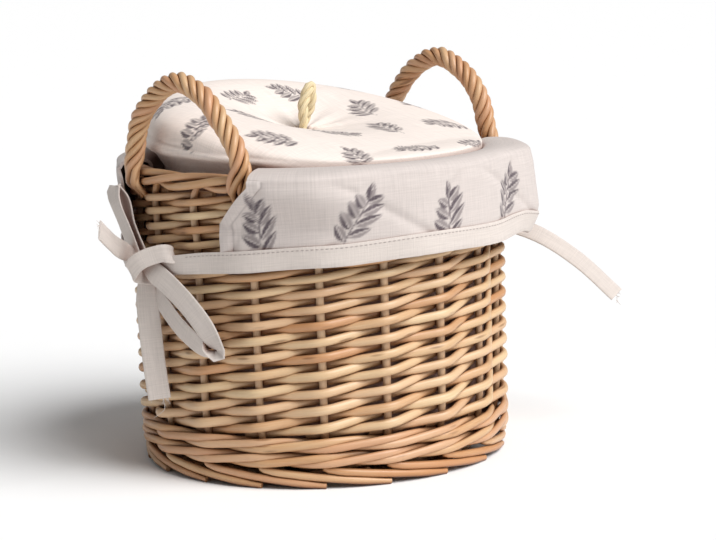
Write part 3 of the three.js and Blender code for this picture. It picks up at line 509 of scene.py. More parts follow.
def add_node(tree, kind, inputs=None, **settings):
    """Adds a node with its settings, and sets or links its inputs by name or place."""
    node = tree.nodes.new("ShaderNode" + kind)
    for key, value in settings.items():
        setattr(node, key, value)
    for key, value in (inputs or {}).items():
        if isinstance(value, bpy.types.NodeSocket):
            tree.links.new(value, node.inputs[key])
        else:
            node.inputs[key].default_value = value
    return node


def new_material(name, **uniform):
    """A material with a shader on which the given uniform values are set."""
    material = bpy.data.materials.new(name)
    material.use_nodes = True
    tree = material.node_tree
    shader = tree.nodes["Principled BSDF"]
    for key, value in uniform.items():
        shader.inputs[key.replace("_", " ")].default_value = value
    return material, tree, shader


def made(name, make, *colours):
    """The material of that name, made when it is first asked for."""
    return bpy.data.materials.get(name) or make(name, *[(*c, 1) for c in colours])


def willow_material(name, pale, dark, pink, scar, honey, crevice_shade):
    """Peeled willow, steamed and thinly varnished: fine grain along the rod, slow changes from honey to
    brown, a blush on some rods, small bud scars, painted shade in the crevices of the weave, warm where
    it is partly varnish gathered there, and a soft gloss on the round of the rod."""
    material, tree, shader = new_material(
        name, IOR=1.5, Coat_Weight=0.22, Coat_Roughness=0.28, Specular_IOR_Level=0.45
    )
    flat = add_node(tree, "Attribute", attribute_name="flat").outputs["Vector"]
    tone = add_node(tree, "Attribute", attribute_name="tone").outputs["Fac"]
    blush = add_node(tree, "Attribute", attribute_name="ink").outputs["Fac"]
    # Grain lines 0.9 mm wide and 18 mm long, twice as coarse as real so that they show
    fine = add_node(tree, "VectorMath", {0: flat, 1: (55, 1100, 1100)}, operation="MULTIPLY")
    grain = add_node(tree, "TexNoise", {"Vector": fine.outputs[0], "Scale": 1, "Detail": 3})
    # Cloudy changes of colour 45 mm long and 8 mm round the rod
    slow = add_node(tree, "VectorMath", {0: flat, 1: (22, 130, 130)}, operation="MULTIPLY")
    cloud = add_node(tree, "TexNoise", {"Vector": slow.outputs[0], "Scale": 1, "Detail": 2})
    lines = add_node(tree, "Math", {0: grain.outputs[0], 1: 0.45, 2: tone}, operation="MULTIPLY_ADD")
    share = add_node(
        tree, "Math", {0: cloud.outputs[0], 1: 0.5, 2: lines.outputs[0]}, operation="MULTIPLY_ADD"
    )
    spread = add_node(
        tree, "MapRange", {"Value": share.outputs[0], "From Min": 0.5, "From Max": 1.45}
    )
    wood = add_node(
        tree, "Mix", {0: spread.outputs[0], MIX_FROM: dark, MIX_TO: pale}, data_type="RGBA"
    )
    tint = add_node(
        tree,
        "Mix",
        {0: blush, MIX_FROM: wood.outputs[MIX_RESULT], MIX_TO: pink},
        data_type="RGBA",
    )
    # Bud scars about 80 mm apart along the side of a rod that shows
    knots = add_node(tree, "VectorMath", {0: flat, 1: (26, 150, 150)}, operation="MULTIPLY")
    cell = add_node(tree, "TexVoronoi", {"Vector": knots.outputs[0], "Scale": 1})
    fleck = add_node(
        tree,
        "MapRange",
        {"Value": cell.outputs["Distance"], "From Min": 0.1, "From Max": 0.2, "To Min": 0.6, "To Max": 0},
    )
    marked = add_node(
        tree,
        "Mix",
        {0: fleck.outputs[0], MIX_FROM: tint.outputs[MIX_RESULT], MIX_TO: scar},
        data_type="RGBA",
    )
    # Painted shade where other rods are nearer than about 12 mm: a warm honey tone, partly varnish
    # gathered there, and a dark tone deeper in
    near = add_node(tree, "AmbientOcclusion", {"Distance": 0.012}, samples=6)
    # Share of painted shade in the warm honey tone, partly varnish gathered
    gathered = add_node(
        tree,
        "MapRange",
        {"Value": near.outputs["AO"], "From Min": 0.3, "From Max": 0.9, "To Min": 0.75, "To Max": 0},
    )
    painted_shade = add_node(
        tree,
        "MapRange",
        {"Value": near.outputs["AO"], "From Min": 0.1, "From Max": 0.55, "To Min": 0.95, "To Max": 0},
    )
    # The palest rods, mostly the stakes in the wall, take less of both, so they stay light as painted
    # light in their shaded recesses
    takes = add_node(
        tree, "MapRange", {"Value": tone, "From Min": 0.7, "From Max": 0.95, "To Min": 1, "To Max": 0.22}
    ).outputs[0]
    warm_shade = add_node(tree, "Math", {0: gathered.outputs[0], 1: takes}, operation="MULTIPLY")
    # Painted shade in the honey tone, partly varnish gathered beside other rods
    varnished = add_node(
        tree,
        "Mix",
        {0: warm_shade.outputs[0], MIX_FROM: marked.outputs[MIX_RESULT], MIX_TO: honey},
        data_type="RGBA",
    )
    # Painted shade in the dark tone, deeper between the rods
    dark_shade = add_node(tree, "Math", {0: painted_shade.outputs[0], 1: takes}, operation="MULTIPLY")
    surface = add_node(
        tree,
        "Mix",
        {0: dark_shade.outputs[0], MIX_FROM: varnished.outputs[MIX_RESULT], MIX_TO: crevice_shade},
        data_type="RGBA",
    )
    gloss = add_node(tree, "MapRange", {"Value": grain.outputs[0], "To Min": 0.36, "To Max": 0.56})
    relief = add_node(
        tree, "Bump", {"Height": grain.outputs[0], "Strength": 0.5, "Distance": 0.0003}
    )
    tree.links.new(surface.outputs[MIX_RESULT], shader.inputs["Base Color"])
    tree.links.new(gloss.outputs[0], shader.inputs["Roughness"])
    tree.links.new(relief.outputs[0], shader.inputs["Normal"])
    return material


def linen_material(name, cloth_colour, ink_colour, hollow):
    """Plain-woven linen and cotton, washed: slubby threads both ways, a dry matt surface with a slight
    bloom, where it is printed a dry ink that misses the hollows of the weave, and painted shade, a dark
    brown, where it lies close behind something."""
    material, tree, shader = new_material(
        name, Roughness=0.9, Sheen_Weight=0.12, Sheen_Roughness=0.5, Specular_IOR_Level=0.25
    )
    flat = add_node(tree, "Attribute", attribute_name="flat").outputs["Vector"]
    # Slubs 0.9 mm wide and 25 mm long; threads 0.9 mm apart, twice as coarse as real to show
    across = add_node(tree, "VectorMath", {0: flat, 1: (40, 1100, 100)}, operation="MULTIPLY")
    down = add_node(tree, "VectorMath", {0: flat, 1: (1100, 40, 100)}, operation="MULTIPLY")
    weft = add_node(tree, "TexNoise", {"Vector": across.outputs[0], "Scale": 1, "Detail": 2})
    warp = add_node(tree, "TexNoise", {"Vector": down.outputs[0], "Scale": 1, "Detail": 2})
    both = add_node(tree, "Math", {0: weft.outputs[0], 1: warp.outputs[0]}, operation="ADD")
    phase = add_node(tree, "VectorMath", {0: flat, 1: (6981, 6981, 0)}, operation="MULTIPLY")
    wave = add_node(tree, "VectorMath", {0: phase.outputs[0]}, operation="SINE")
    xy = add_node(tree, "SeparateXYZ", {0: wave.outputs[0]})
    weave = add_node(tree, "Math", {0: xy.outputs[0], 1: xy.outputs[1]}, operation="MULTIPLY")
    height = add_node(
        tree, "Math", {0: weave.outputs[0], 1: 0.22, 2: both.outputs[0]}, operation="MULTIPLY_ADD"
    )
    shade = add_node(
        tree,
        "MapRange",
        {"Value": both.outputs[0], "From Min": 0.6, "From Max": 1.4, "To Min": 0.88, "To Max": 1.08},
    )
    base = add_node(
        tree, "VectorMath", {0: cloth_colour[:3], "Scale": shade.outputs[0]}, operation="SCALE"
    )
    ink = add_node(tree, "Attribute", attribute_name="ink").outputs["Fac"]
    dry = add_node(
        tree,
        "MapRange",
        {"Value": height.outputs[0], "From Min": 0.7, "From Max": 1.15, "To Min": 0.8, "To Max": 1},
    )
    laid = add_node(tree, "Math", {0: ink, 1: dry.outputs[0]}, operation="MULTIPLY")
    printed = add_node(
        tree,
        "Mix",
        {0: laid.outputs[0], MIX_FROM: base.outputs[0], MIX_TO: ink_colour},
        data_type="RGBA",
    )
    relief = add_node(
        tree, "Bump", {"Height": height.outputs[0], "Strength": 0.3, "Distance": 0.0004}
    )
    # Painted shade: the hollow colour laid on where something lies within about 30 mm, as behind the rods
    # or where the lid meets the flap
    near = add_node(tree, "AmbientOcclusion", {"Distance": 0.03}, samples=6)
    painted_shade = add_node(
        tree,
        "MapRange",
        {"Value": near.outputs["AO"], "From Min": 0.1, "From Max": 0.62, "To Min": 0.85, "To Max": 0},
    )
    surface = add_node(
        tree,
        "Mix",
        {0: painted_shade.outputs[0], MIX_FROM: printed.outputs[MIX_RESULT], MIX_TO: hollow},
        data_type="RGBA",
    )
    tree.links.new(surface.outputs[MIX_RESULT], shader.inputs["Base Color"])
    tree.links.new(relief.outputs[0], shader.inputs["Normal"])
    return material


def straw_material(name, straw):
    """Straw rope, laid from dry stalks: fibres along each strand, dull gold, no gloss."""
    material, tree, shader = new_material(name, Roughness=0.72, Specular_IOR_Level=0.3)
    flat = add_node(tree, "Attribute", attribute_name="flat").outputs["Vector"]
    # Stalks 0.7 mm wide and 25 mm long
    fibre = add_node(tree, "VectorMath", {0: flat, 1: (40, 1400, 1400)}, operation="MULTIPLY")
    lines = add_node(tree, "TexNoise", {"Vector": fibre.outputs[0], "Scale": 1, "Detail": 3})
    shade = add_node(
        tree,
        "MapRange",
        {"Value": lines.outputs[0], "From Min": 0.25, "From Max": 0.75, "To Min": 0.62, "To Max": 1.12},
    )
    base = add_node(tree, "VectorMath", {0: straw[:3], "Scale": shade.outputs[0]}, operation="SCALE")
    relief = add_node(
        tree, "Bump", {"Height": lines.outputs[0], "Strength": 0.8, "Distance": 0.0006}
    )
    tree.links.new(base.outputs[0], shader.inputs["Base Color"])
    tree.links.new(relief.outputs[0], shader.inputs["Normal"])
    return material


def filling_material(name, filling):
    """Carded fibre filling: white, woolly and matt."""
    material, tree, shader = new_material(name, Roughness=0.98, Sheen_Weight=0.3)
    flat = add_node(tree, "Attribute", attribute_name="flat").outputs["Vector"]
    # Tufts 4 mm across
    tuft = add_node(tree, "TexNoise", {"Vector": flat, "Scale": 250, "Detail": 4})
    shade = add_node(tree, "MapRange", {"Value": tuft.outputs[0], "To Min": 0.8, "To Max": 1.1})
    base = add_node(tree, "VectorMath", {0: filling[:3], "Scale": shade.outputs[0]}, operation="SCALE")
    tree.links.new(base.outputs[0], shader.inputs["Base Color"])
    return material


def floor_material(name, pale):
    """Painted studio floor: even, matt and pale."""
    material, tree, shader = new_material(name, Roughness=0.85, Specular_IOR_Level=0.1)
    place = add_node(tree, "TexCoord").outputs["Object"]
    # Roller marks 40 mm across, barely there
    marks = add_node(tree, "TexNoise", {"Vector": place, "Scale": 25})
    shade = add_node(tree, "MapRange", {"Value": marks.outputs[0], "To Min": 0.99, "To Max": 1.01})
    base = add_node(tree, "VectorMath", {0: pale[:3], "Scale": shade.outputs[0]}, operation="SCALE")
    tree.links.new(base.outputs[0], shader.inputs["Base Color"])
    return material


def willow(scene):
    """The willow of every rod."""
    c = scene.basket_colours
    colours = (c.willow_pale, c.willow_dark, c.willow_pink, c.scar, c.honey, c.crevice_shade)
    return made("peeled_willow_varnished", willow_material, *colours)


def linen(scene):
    """The printed linen of the liner."""
    c = scene.basket_colours
    return made("liner_linen_printed", linen_material, c.linen, c.ink, c.hollow)


def tape(scene):
    """The plain linen of the binding and the bows."""
    c = scene.basket_colours
    return made("tape_linen_plain", linen_material, c.tape, c.ink, c.hollow)


# Unevenness of a rod: length and amount of a change in girth and in tone, and how far it is off
# round
GIRTH_RUN = 0.05
GIRTH_CHANGE = 0.03
TONE_RUN = 0.08
TONE_CHANGE = 0.07
OVALNESS = 0.04
# Blush of a rod: its mean, its spread from rod to rod and the most that a rod has
BLUSH_MEAN = 0.1
BLUSH_SPREAD = 0.3
BLUSH_MOST = 0.45


def rod(path, normals, diameters, rng, tone, sides=10, tall=1.0):
    """A willow rod: not quite round, not quite even, and of a tone and a blush of its own."""
    count = len(path)
    long = run_length(path)[-1]
    even = 1 + wander(rng, count, long / GIRTH_RUN, GIRTH_CHANGE)
    section = round_section(np.broadcast_to(diameters, count) * even, sides)
    section = section * np.array([1, tall + rng.uniform(-OVALNESS, OVALNESS)])
    tones = tone + wander(rng, count, long / TONE_RUN, TONE_CHANGE)
    part = tube(path, normals, section, tones)
    part.ink += np.clip(rng.normal(BLUSH_MEAN, BLUSH_SPREAD), 0, BLUSH_MOST)
    return part


def wicker(scene, name, part):
    """Makes a piece of one rod, in place of the solid of that name."""
    piece(f"willow_{name}", [part], willow(scene), [name])


# Stakes: tones in the two borders, tone and blush in the wall, and heights over which they turn pale and
# dark again; the pale tone in the wall is painted light against the shade of their recess behind the
# weavers
BORDER_TONES = (0, 0.4)
WALL_LIT_TONE = 0.92
WALL_BLUSH = 0.45
PALE_FROM = (0.03, 0.05)
PALE_TO = (0.2, 0.215)
# Girth of a stake's lower end and the run over which it gets full, and how tall the section is
STAKE_END = 0.75
STAKE_END_RUN = 0.02
STAKE_TALL = 1.1
WALL_STOPS = 6


def in_wall(points):
    """1 at points in the wall, where the stakes are painted pale against the shade of their recess, and 0
    in the two borders.
    """
    return smoothstep(points[:, 2], *PALE_FROM) * falling(points[:, 2], *PALE_TO)


def stake_path(f, index):
    """A stake from the end of its foot run, up the wall and along the rolled border."""
    turn, w = stake_turn(f, index), f.w
    bend = w.stake_rod / (w.foot_radius * f.space)
    path = []
    for space in range(FOOT_SPACES, 0, -1):
        low = f.foot_high - space * f.pitch
        for back in (0, 0.5):
            path.append(polar(f.foot_run, turn + (space - back) * f.space, low + back * f.pitch))
    path.append(polar(f.foot_run, turn + bend * f.space, f.foot_high))
    path.append(polar(f.foot_run - FOOT_FLARE / 2, turn, f.foot_high + w.stake_rod / 4))
    for z in np.linspace(f.foot_top + w.stake_rod / 4, f.stake_top - w.stake_rod, WALL_STOPS):
        path.append(polar(stake_radius(f, z), turn, z))
    path.append(polar(w.rim_radius, turn + 0.5 * bend * f.space, f.stake_top))
    for spaces, out, up in BORDER_ROUTE:
        radius = w.rim_radius + out * f.pitch
        path.append(polar(radius, turn + spaces * f.space, f.stake_top + up * f.pitch))
    return np.concatenate(path)


class BASKET_OT_stakes(bpy.types.Operator):
    """Adds the stakes with the foot border and the rolled border that their ends make"""

    bl_idname = "basket.stakes"
    bl_label = "Stakes and borders"

    def execute(self, context):
        f = fits(context.scene)
        for index in range(f.w.stake_count):
            rng = np.random.default_rng(STAKE_SEED + index)
            path = smooth_path(stake_path(f, index), ROD_STEP)
            # Painted light: paler in the wall, where the stakes sit in shade behind the weavers
            tone = lerp(rng.uniform(*BORDER_TONES), WALL_LIT_TONE, in_wall(path))
            full = smoothstep(run_length(path), 0, STAKE_END_RUN)
            thick = f.w.stake_rod * lerp(STAKE_END, 1, full)
            part = rod(path, outward(path), thick, rng, tone, tall=STAKE_TALL)
            part.ink = np.maximum(part.ink, WALL_BLUSH * in_wall(part.points))
            # The lowest rods lie flat on the floor
            part.points[:, 2] = np.maximum(part.points[:, 2], 0)
            wicker(context.scene, f"stake_{index + 1:02d}", part)
        return {"FINISHED"}


# Wale: number of rods, their tones, how much higher the second round lies, how much fuller the
# rods are than their size, and how tall the section is
WALE_RODS = 3
WALE_TONES = (0.05, 0.4)
WALE_LIFT = 0.0012
WALE_FULL = 1.12
WALE_TALL = 1.25


def wale_path(f, number):
    """A wale rod, before two stakes and behind one, over two rounds."""
    w = f.w
    offset = (w.stake_rod + w.wale_rod) / 2 + w.rod_gap
    half = np.arange(2 * (2 * w.stake_count - WALE_STEP) + 1)
    route = np.array([WALE_ROUTE[(h + 2 * number) % len(WALE_ROUTE)] for h in half])
    climb = np.clip((half / 2 - (w.stake_count - WALE_STEP)) / WALE_STEP, 0, 1)
    z = f.wale_low + climb * (f.wale_round + WALE_LIFT) + route[:, 1] * w.wale_rod
    radius = stake_radius(f, z) + route[:, 0] * offset
    return polar(radius, stake_turn(f, WALE_START + half / 2), z)


class BASKET_OT_wale(bpy.types.Operator):
    """Adds the three rods twined round the stakes above the foot"""

    bl_idname = "basket.wale"
    bl_label = "Wale"

    def execute(self, context):
        f = fits(context.scene)
        for number in range(WALE_RODS):
            rng = np.random.default_rng(WALE_SEED + number)
            path = smooth_path(wale_path(f, number), ROD_STEP)
            tone = rng.uniform(*WALE_TONES)
            part = rod(path, outward(path), f.w.wale_rod * WALE_FULL, rng, tone, tall=WALE_TALL)
            wicker(context.scene, f"wale_rod_{number + 1}", part)
        return {"FINISHED"}


# Weavers: spaces that they run on past their first and last stake, and spaces beside a stake at
# which they bend
WEAVER_END = 0.3
WEAVER_BEND = 0.11
# How uneven the levels are, how far a weaver lies off a stake, and how much closer beside it
LEVEL_UNEVEN = 0.0004
WEAVER_SEAT = 0.0002
WEAVER_PINCH = 0.0007
WEAVER_TONES = (0.15, 0.75)
WEAVER_TALL = 1.22


def weaver_diameter(f, level):
    """Diameter of a weaver at a level: it tapers from butt to tip."""
    return lerp(f.w.weaver_butt, f.w.weaver_tip, np.clip(level / f.levels, 0, 1))


def weave_height(f, level):
    """Height of a level, closer together as the weavers get thinner."""
    share = np.clip(level / f.levels, 0, 1)
    thick = f.w.weaver_butt + f.w.rod_gap
    thin = f.w.weaver_tip + f.w.rod_gap
    run = thick * share - (thick - thin) * share**2 / 2
    return lerp(f.weave_low, f.weave_high, run / ((thick + thin) / 2))


def weaver_path(f, first, rng):
    """A weaver from its stake, before and behind the stakes in turn, up by a level at each: it
    bends at the stakes and runs nearly straight between them."""
    stops = np.arange(f.levels + 1)
    at_stakes = (stops[:, None] + np.array([-WEAVER_BEND, 0, WEAVER_BEND])).ravel()
    levels = np.concatenate([[-WEAVER_END], at_stakes, [f.levels + WEAVER_END]])
    heights = weave_height(f, stops) + rng.normal(0, LEVEL_UNEVEN, len(stops))
    rise = np.interp(levels, stops, heights)
    beside = levels != np.rint(levels)
    offset = (f.w.stake_rod + weaver_diameter(f, levels)) / 2 + WEAVER_SEAT - WEAVER_PINCH * beside
    before = np.where(np.rint(levels) % 2 == 1, 1, -1)
    return polar(stake_radius(f, rise) + before * offset, stake_turn(f, first + levels), rise)


class BASKET_OT_weavers(bpy.types.Operator):
    """Adds the weavers that rise side by side round the wall"""

    bl_idname = "basket.weavers"
    bl_label = "Weavers"

    def execute(self, context):
        f = fits(context.scene)
        for index in range(f.w.stake_count):
            rng = np.random.default_rng(WEAVER_SEED + index)
            path = bent_path(weaver_path(f, index, rng), WEAVER_STEP)
            share = run_length(path) / run_length(path)[-1]
            thick = weaver_diameter(f, share * f.levels)
            tone = rng.uniform(*WEAVER_TONES)
            part = rod(path, outward(path), thick, rng, tone, tall=WEAVER_TALL)
            wicker(context.scene, f"weaver_{index + 1:02d}", part)
        return {"FINISHED"}


# Base: sticks each way, length of the cross in the middle, radius at which the spokes have fanned
# out, rods woven round them, and tones
BASE_STICKS = 3
BASE_CROSS = 0.020
BASE_FAN = 0.036
BASE_WEAVERS = 2
STICK_TONES = (0.1, 0.5)
BASE_WEAVER_TONES = (0.2, 0.6)


def stick_path(f, stick, side):
    """A base stick that lies beside its fellows at the middle and fans out into two spokes."""
    place = stick - (BASE_STICKS - 1) / 2
    fan = place * TAU / (4 * BASE_STICKS)
    step = f.w.base_stick + f.w.rod_gap
    half = np.array(
        [
            [f.spoke_end * math.cos(fan), f.spoke_end * math.sin(fan), f.base_level],
            [BASE_FAN * math.cos(fan), BASE_FAN * math.sin(fan), f.base_level],
            [BASE_CROSS / 2, place * step, f.base_level + side * step / 2],
        ]
    )
    path = np.concatenate([half, (half * np.array([-1, 1, 1]))[::-1]])
    return path if side > 0 else path[:, [1, 0, 2]] * np.array([-1, 1, 1])


def base_weaver_path(f, number):
    """A rod woven round the spokes, from the middle out."""
    spokes = 4 * BASE_STICKS
    row = f.w.base_weaver + f.w.rod_gap
    first = BASE_FAN + (1 + number) * row
    last = f.spoke_end - f.w.base_weaver / 2 - f.w.rod_gap - (1 - number) * row
    step = np.arange(math.floor((last - first) / (2 * row) * spokes) + 1)
    over = np.where((step + number) % 2 == 1, 1, -1)
    z = f.base_level + over * f.base_offset
    return polar(first + 2 * row * step / spokes, step * TAU / spokes, z)


class BASKET_OT_base(bpy.types.Operator):
    """Adds the crossed sticks of the base and the rods woven round them"""

    bl_idname = "basket.base"
    bl_label = "Base"

    def execute(self, context):
        f = fits(context.scene)
        for side, way in ((1, "along"), (-1, "across")):
            for stick in range(BASE_STICKS):
                rng = np.random.default_rng(STICK_SEED + 10 * side + stick)
                path = smooth_path(stick_path(f, stick, side), BASE_STEP)
                part = rod(path, UP, f.w.base_stick, rng, rng.uniform(*STICK_TONES))
                wicker(context.scene, f"base_stick_{way}_{stick + 1}", part)
        for number in range(BASE_WEAVERS):
            rng = np.random.default_rng(BASE_WEAVER_SEED + number)
            path = smooth_path(base_weaver_path(f, number), BASE_STEP)
            part = rod(path, UP, f.w.base_weaver, rng, rng.uniform(*BASE_WEAVER_TONES))
            wicker(context.scene, f"base_weaver_{number + 1}", part)
        return {"FINISHED"}


# Handles: fullness and stops of the arch, how far a handle bows sideways, at what height above the
# border and over what run, and the run over which the strands fan out into a foot
HANDLE_ROUNDNESS = 1.7
ARCH_STOPS = 721
HANDLE_BOW = 0.0045
HANDLE_BOW_HEIGHT = 0.012
HANDLE_BOW_RUN = 0.016
HANDLE_SPREAD = 0.022
# Strands: share of the twist lost in a foot, how far the ends are tucked in, from what depth below
# the top of the border and over what run, and the same for their taper
STRAND_UNTWIST = 0.6
STRAND_TUCK = 0.009
TUCK_DEPTH = 0.009
TUCK_RUN = 0.012
STRAND_TAPER = 0.4
TAPER_DEPTH = 0.012
TAPER_RUN = 0.009
# Looseness of the strands, their girths, changes of girth and tones, and the core inside them
STRAND_LOOSE = 0.0002
STRAND_GIRTHS = (0.88, 1.02)
STRAND_CHANGES = 5
STRAND_CHANGE = 0.05
STRAND_TONES = (0, 0.4)
STRAND_SIDES = 12
CORE_GIRTH = 0.8
CORE_TONE = 0.1


def handle_path(f):
    """The middle line of the right handle, from foot to foot."""
    w = f.w
    turn = np.linspace(0, math.pi, ARCH_STOPS)
    power = 2 / HANDLE_ROUNDNESS
    y = w.handle_span / 2 * np.sign(np.cos(turn)) * np.abs(np.cos(turn)) ** power
    z = w.wall_height + (f.handle_top - w.wall_height) * np.abs(np.sin(turn)) ** power
    foot = w.wall_height - w.handle_tuck
    y = np.concatenate([[w.handle_span / 2], y, [-w.handle_span / 2]])
    z = np.concatenate([[foot], z, [foot]])
    y = y + HANDLE_BOW * bump(z, w.wall_height + HANDLE_BOW_HEIGHT, HANDLE_BOW_RUN)
    return bent_path(np.stack([np.full(len(y), f.handle_plane), y, z], axis=-1), HANDLE_STEP)


def handle_strands(f, rng):
    """The twisted strands of the right handle round a core, fanned out and tucked in at both feet."""
    w, middle = f.w, handle_path(f)
    below = w.wall_height - middle[:, 2]
    spread = smoothstep(below + 0.5 * HANDLE_SPREAD, 0, HANDLE_SPREAD)
    rate = TAU / w.handle_lay * (1 - STRAND_UNTWIST * spread)
    steps = np.diff(run_length(middle))
    twist = np.concatenate([[0], np.cumsum(steps * (rate[1:] + rate[:-1]) / 2)])
    thick = w.handle_rope / (1 + 1 / math.sin(math.pi / w.handle_strands))
    depth = lerp(w.handle_rope, w.handle_foot_depth, spread) / 2 - thick / 2
    width = lerp(w.handle_rope, w.handle_foot_width, spread) / 2 - thick / 2
    tuck = STRAND_TUCK * smoothstep(below - TUCK_DEPTH, 0, TUCK_RUN)
    girth = thick * (1 - STRAND_TAPER * smoothstep(below - TAPER_DEPTH, 0, TAPER_RUN))
    normal, side = square_to(middle, outward(middle))
    core = middle - normal * tuck[:, None]
    strands = [rod(core, normal, CORE_GIRTH * girth, rng, CORE_TONE, STRAND_SIDES)]
    for number in range(w.handle_strands):
        turn = TAU * number / w.handle_strands + twist
        deep = (np.cos(turn) * (depth + STRAND_LOOSE) - tuck)[:, None]
        wide = (np.sin(turn) * (width + STRAND_LOOSE))[:, None]
        path = middle + normal * deep + side * wide
        full = rng.uniform(*STRAND_GIRTHS) + wander(rng, len(path), STRAND_CHANGES, STRAND_CHANGE)
        strands.append(rod(path, normal, full * girth, rng, rng.uniform(*STRAND_TONES), STRAND_SIDES))
    return strands


def turned(part, turn):
    """The part, turned about the basket's axis."""
    part.points = part.points @ np.array(Matrix.Rotation(turn, 3, "Z")).T
    return part


class BASKET_OT_handles(bpy.types.Operator):
    """Adds the two handles, each of rods twisted into a rope"""

    bl_idname = "basket.handles"
    bl_label = "Handles"

    def execute(self, context):
        f = fits(context.scene)
        turns = (("handle_right", 0), ("handle_left", math.pi + f.w.handle_shift))
        for number, (name, turn) in enumerate(turns):
            strands = handle_strands(f, np.random.default_rng(HANDLE_SEED + number))
            parts = [turned(strand, turn) for strand in strands]
            piece(f"roped_{name}", parts, willow(context.scene), [name])
        return {"FINISHED"}


# Flaps: angle of an end from the handle's middle at the hem and above the cut corner, how far the
# cut reaches below the top of the border, and how high it is
NOTCH_LOW = 19.6
NOTCH_HIGH = 30
NOTCH_DEPTH = 0.033
NOTCH_RUN = 0.027
# Hem: angles from the handle's middle over which a corner's sag fades, the waves along the hem, and
# the side, amount and reach, in cosines, of the corner that sags more
SAG_FADE = (24, 48)
HEM_WAVES = 14
HEM_WAVE = 0.0012
LOW_CORNER = 330
LOW_CORNER_SAG = 0.0055
LOW_CORNER_REACH = (0.87, 0.98)
# Ends that stand out: angles from the handle's middle over which that fades, depth below the top
# of the border on the left and on the right, run, and the side and reach of the one that lies close
STAND_FADE = (44, 68)
STAND_DEPTH = (0.004, 0.048)
STAND_RUN = 0.030
CLOSE_CORNER = 152
CLOSE_REACH = (0.85, 0.98)


def notch_turn(f, z):
    """Angle from the handle's middle to the end of a flap at a height: its corners are cut off."""
    share = np.clip((z - f.w.wall_height + NOTCH_DEPTH) / NOTCH_RUN, 0, 1)
    return np.radians(lerp(NOTCH_LOW, NOTCH_HIGH, share))


def from_handle(turn):
    """Angle to the middle of the nearer handle."""
    return np.arcsin(np.abs(np.sin(turn)))


def hem_lift(f, turn):
    """How much higher the hem is at an angle than on the whole: askew, with sagging corners."""
    sag = f.c.corner_sag * falling(from_handle(turn), *np.radians(SAG_FADE))
    low = LOW_CORNER_SAG * smoothstep(np.cos(turn - math.radians(LOW_CORNER)), *LOW_CORNER_REACH)
    return f.c.hem_tilt * np.cos(turn - f.c.hem_turn) - sag - low


def flap_stand(f, z, turn):
    """How far a flap's ends stand out over the handles' feet, to a lower height on the right."""
    end = falling(from_handle(turn), *np.radians(STAND_FADE))
    high = f.w.wall_height - lerp(*STAND_DEPTH, (1 + np.cos(turn)) / 2)
    close = 1 - smoothstep(np.cos(turn - math.radians(CLOSE_CORNER)), *CLOSE_REACH)
    return f.c.flap_stand * close * end * smoothstep((z - high) / STAND_RUN, -1, 0)


def flap_radius(f, z, turn):
    """Radius of a flap outside the border: it flares to its hem in shallow waves."""
    hang = np.clip((f.fold_base - z) / (f.fold_base - f.flap_hem), 0, 1)
    waves = HEM_WAVE * hang**2 * np.cos(HEM_WAVES * turn)
    sway = f.c.flap_sway * np.cos(turn) * hang
    return f.flap_outer + f.c.flap_flare * hang + waves + sway + flap_stand(f, z, turn)


# Leaf: where it swells, how blunt it is, its soft edge, the pale vein, and ink on its two halves
LEAF_SWELL = 0.8
LEAF_BLUNT = 0.9
LEAF_EDGE = 0.12
VEIN_WIDTH = 0.09
VEIN_EDGE = 0.05
VEIN_PALE = 0.7
LEAF_INKS = (0.95, 0.6)
# Sprig, in shares of its height: half length, width, soft edge, ink and bend of the stem
STEM_HALF = 0.46
STEM_WIDTH = 0.016
STEM_EDGE = 0.012
STEM_INK = 0.8
STEM_BEND = 0.1
STEM_BENDS = 3
# Its leaf pairs from below, by height on the stem and length; their width, stagger and slant; and
# the height, length and width of the leaf at the top
LEAF_PAIRS = ((-0.3, 0.36), (-0.12, 0.42), (0.06, 0.38), (0.22, 0.3))
LEAF_WIDTH = 0.17
LEAF_STAGGER = 0.035
LEAF_SLANT = 52
TOP_LEAF = (0.3, 0.3, 0.15)


def leaf(x, y, base, turn, long, wide):
    """Ink of a leaf, darker on one side of its vein."""
    along = ((x - base[0]) * math.cos(turn) + (y - base[1]) * math.sin(turn)) / long
    across = ((y - base[1]) * math.cos(turn) - (x - base[0]) * math.sin(turn)) / wide
    half = 0.5 * np.sin(math.pi * np.clip(along, 0, 1) ** LEAF_SWELL) ** LEAF_BLUNT
    inside = smoothstep(half - np.abs(across), 0, LEAF_EDGE) * (along > 0) * (along < 1)
    vein = 1 - VEIN_PALE * smoothstep(VEIN_WIDTH - np.abs(across), 0, VEIN_EDGE)
    return inside * vein * np.where(across > 0, *LEAF_INKS)


def sprig(x, y, size, lean):
    """Ink of a sprig of leaves on a bent stem, in places given from its middle."""
    across = (x * math.cos(lean) + y * math.sin(lean)) / size
    up = (y * math.cos(lean) - x * math.sin(lean)) / size
    across = across - STEM_BEND * np.sin(STEM_BENDS * up)
    stem = smoothstep(STEM_WIDTH - np.abs(across), 0, STEM_EDGE) * (np.abs(up) < STEM_HALF)
    ink = STEM_INK * stem
    for height, reach in LEAF_PAIRS:
        for way in (1, -1):
            slant = math.pi / 2 - way * math.radians(LEAF_SLANT)
            base = (0, height + LEAF_STAGGER * way)
            ink = np.maximum(ink, leaf(across, up, base, slant, reach, LEAF_WIDTH))
    height, reach, wide = TOP_LEAF
    return np.maximum(ink, leaf(across, up, (0, height), math.pi / 2, reach, wide))


def print_of(x, y, places, size):
    """Ink of sprigs at the given places, each with a lean."""
    ink = np.zeros(np.shape(x))
    for px, py, lean in places:
        ink = np.maximum(ink, sprig(x - px, y - py, size, lean))
    return ink


# Rows of a flap's grid in its seam, over the fold and down its face, and columns along it
SEAM_ROWS = 8
FOLD_ROWS = 36
DROP_ROWS = 56
FLAP_COLUMNS = 300


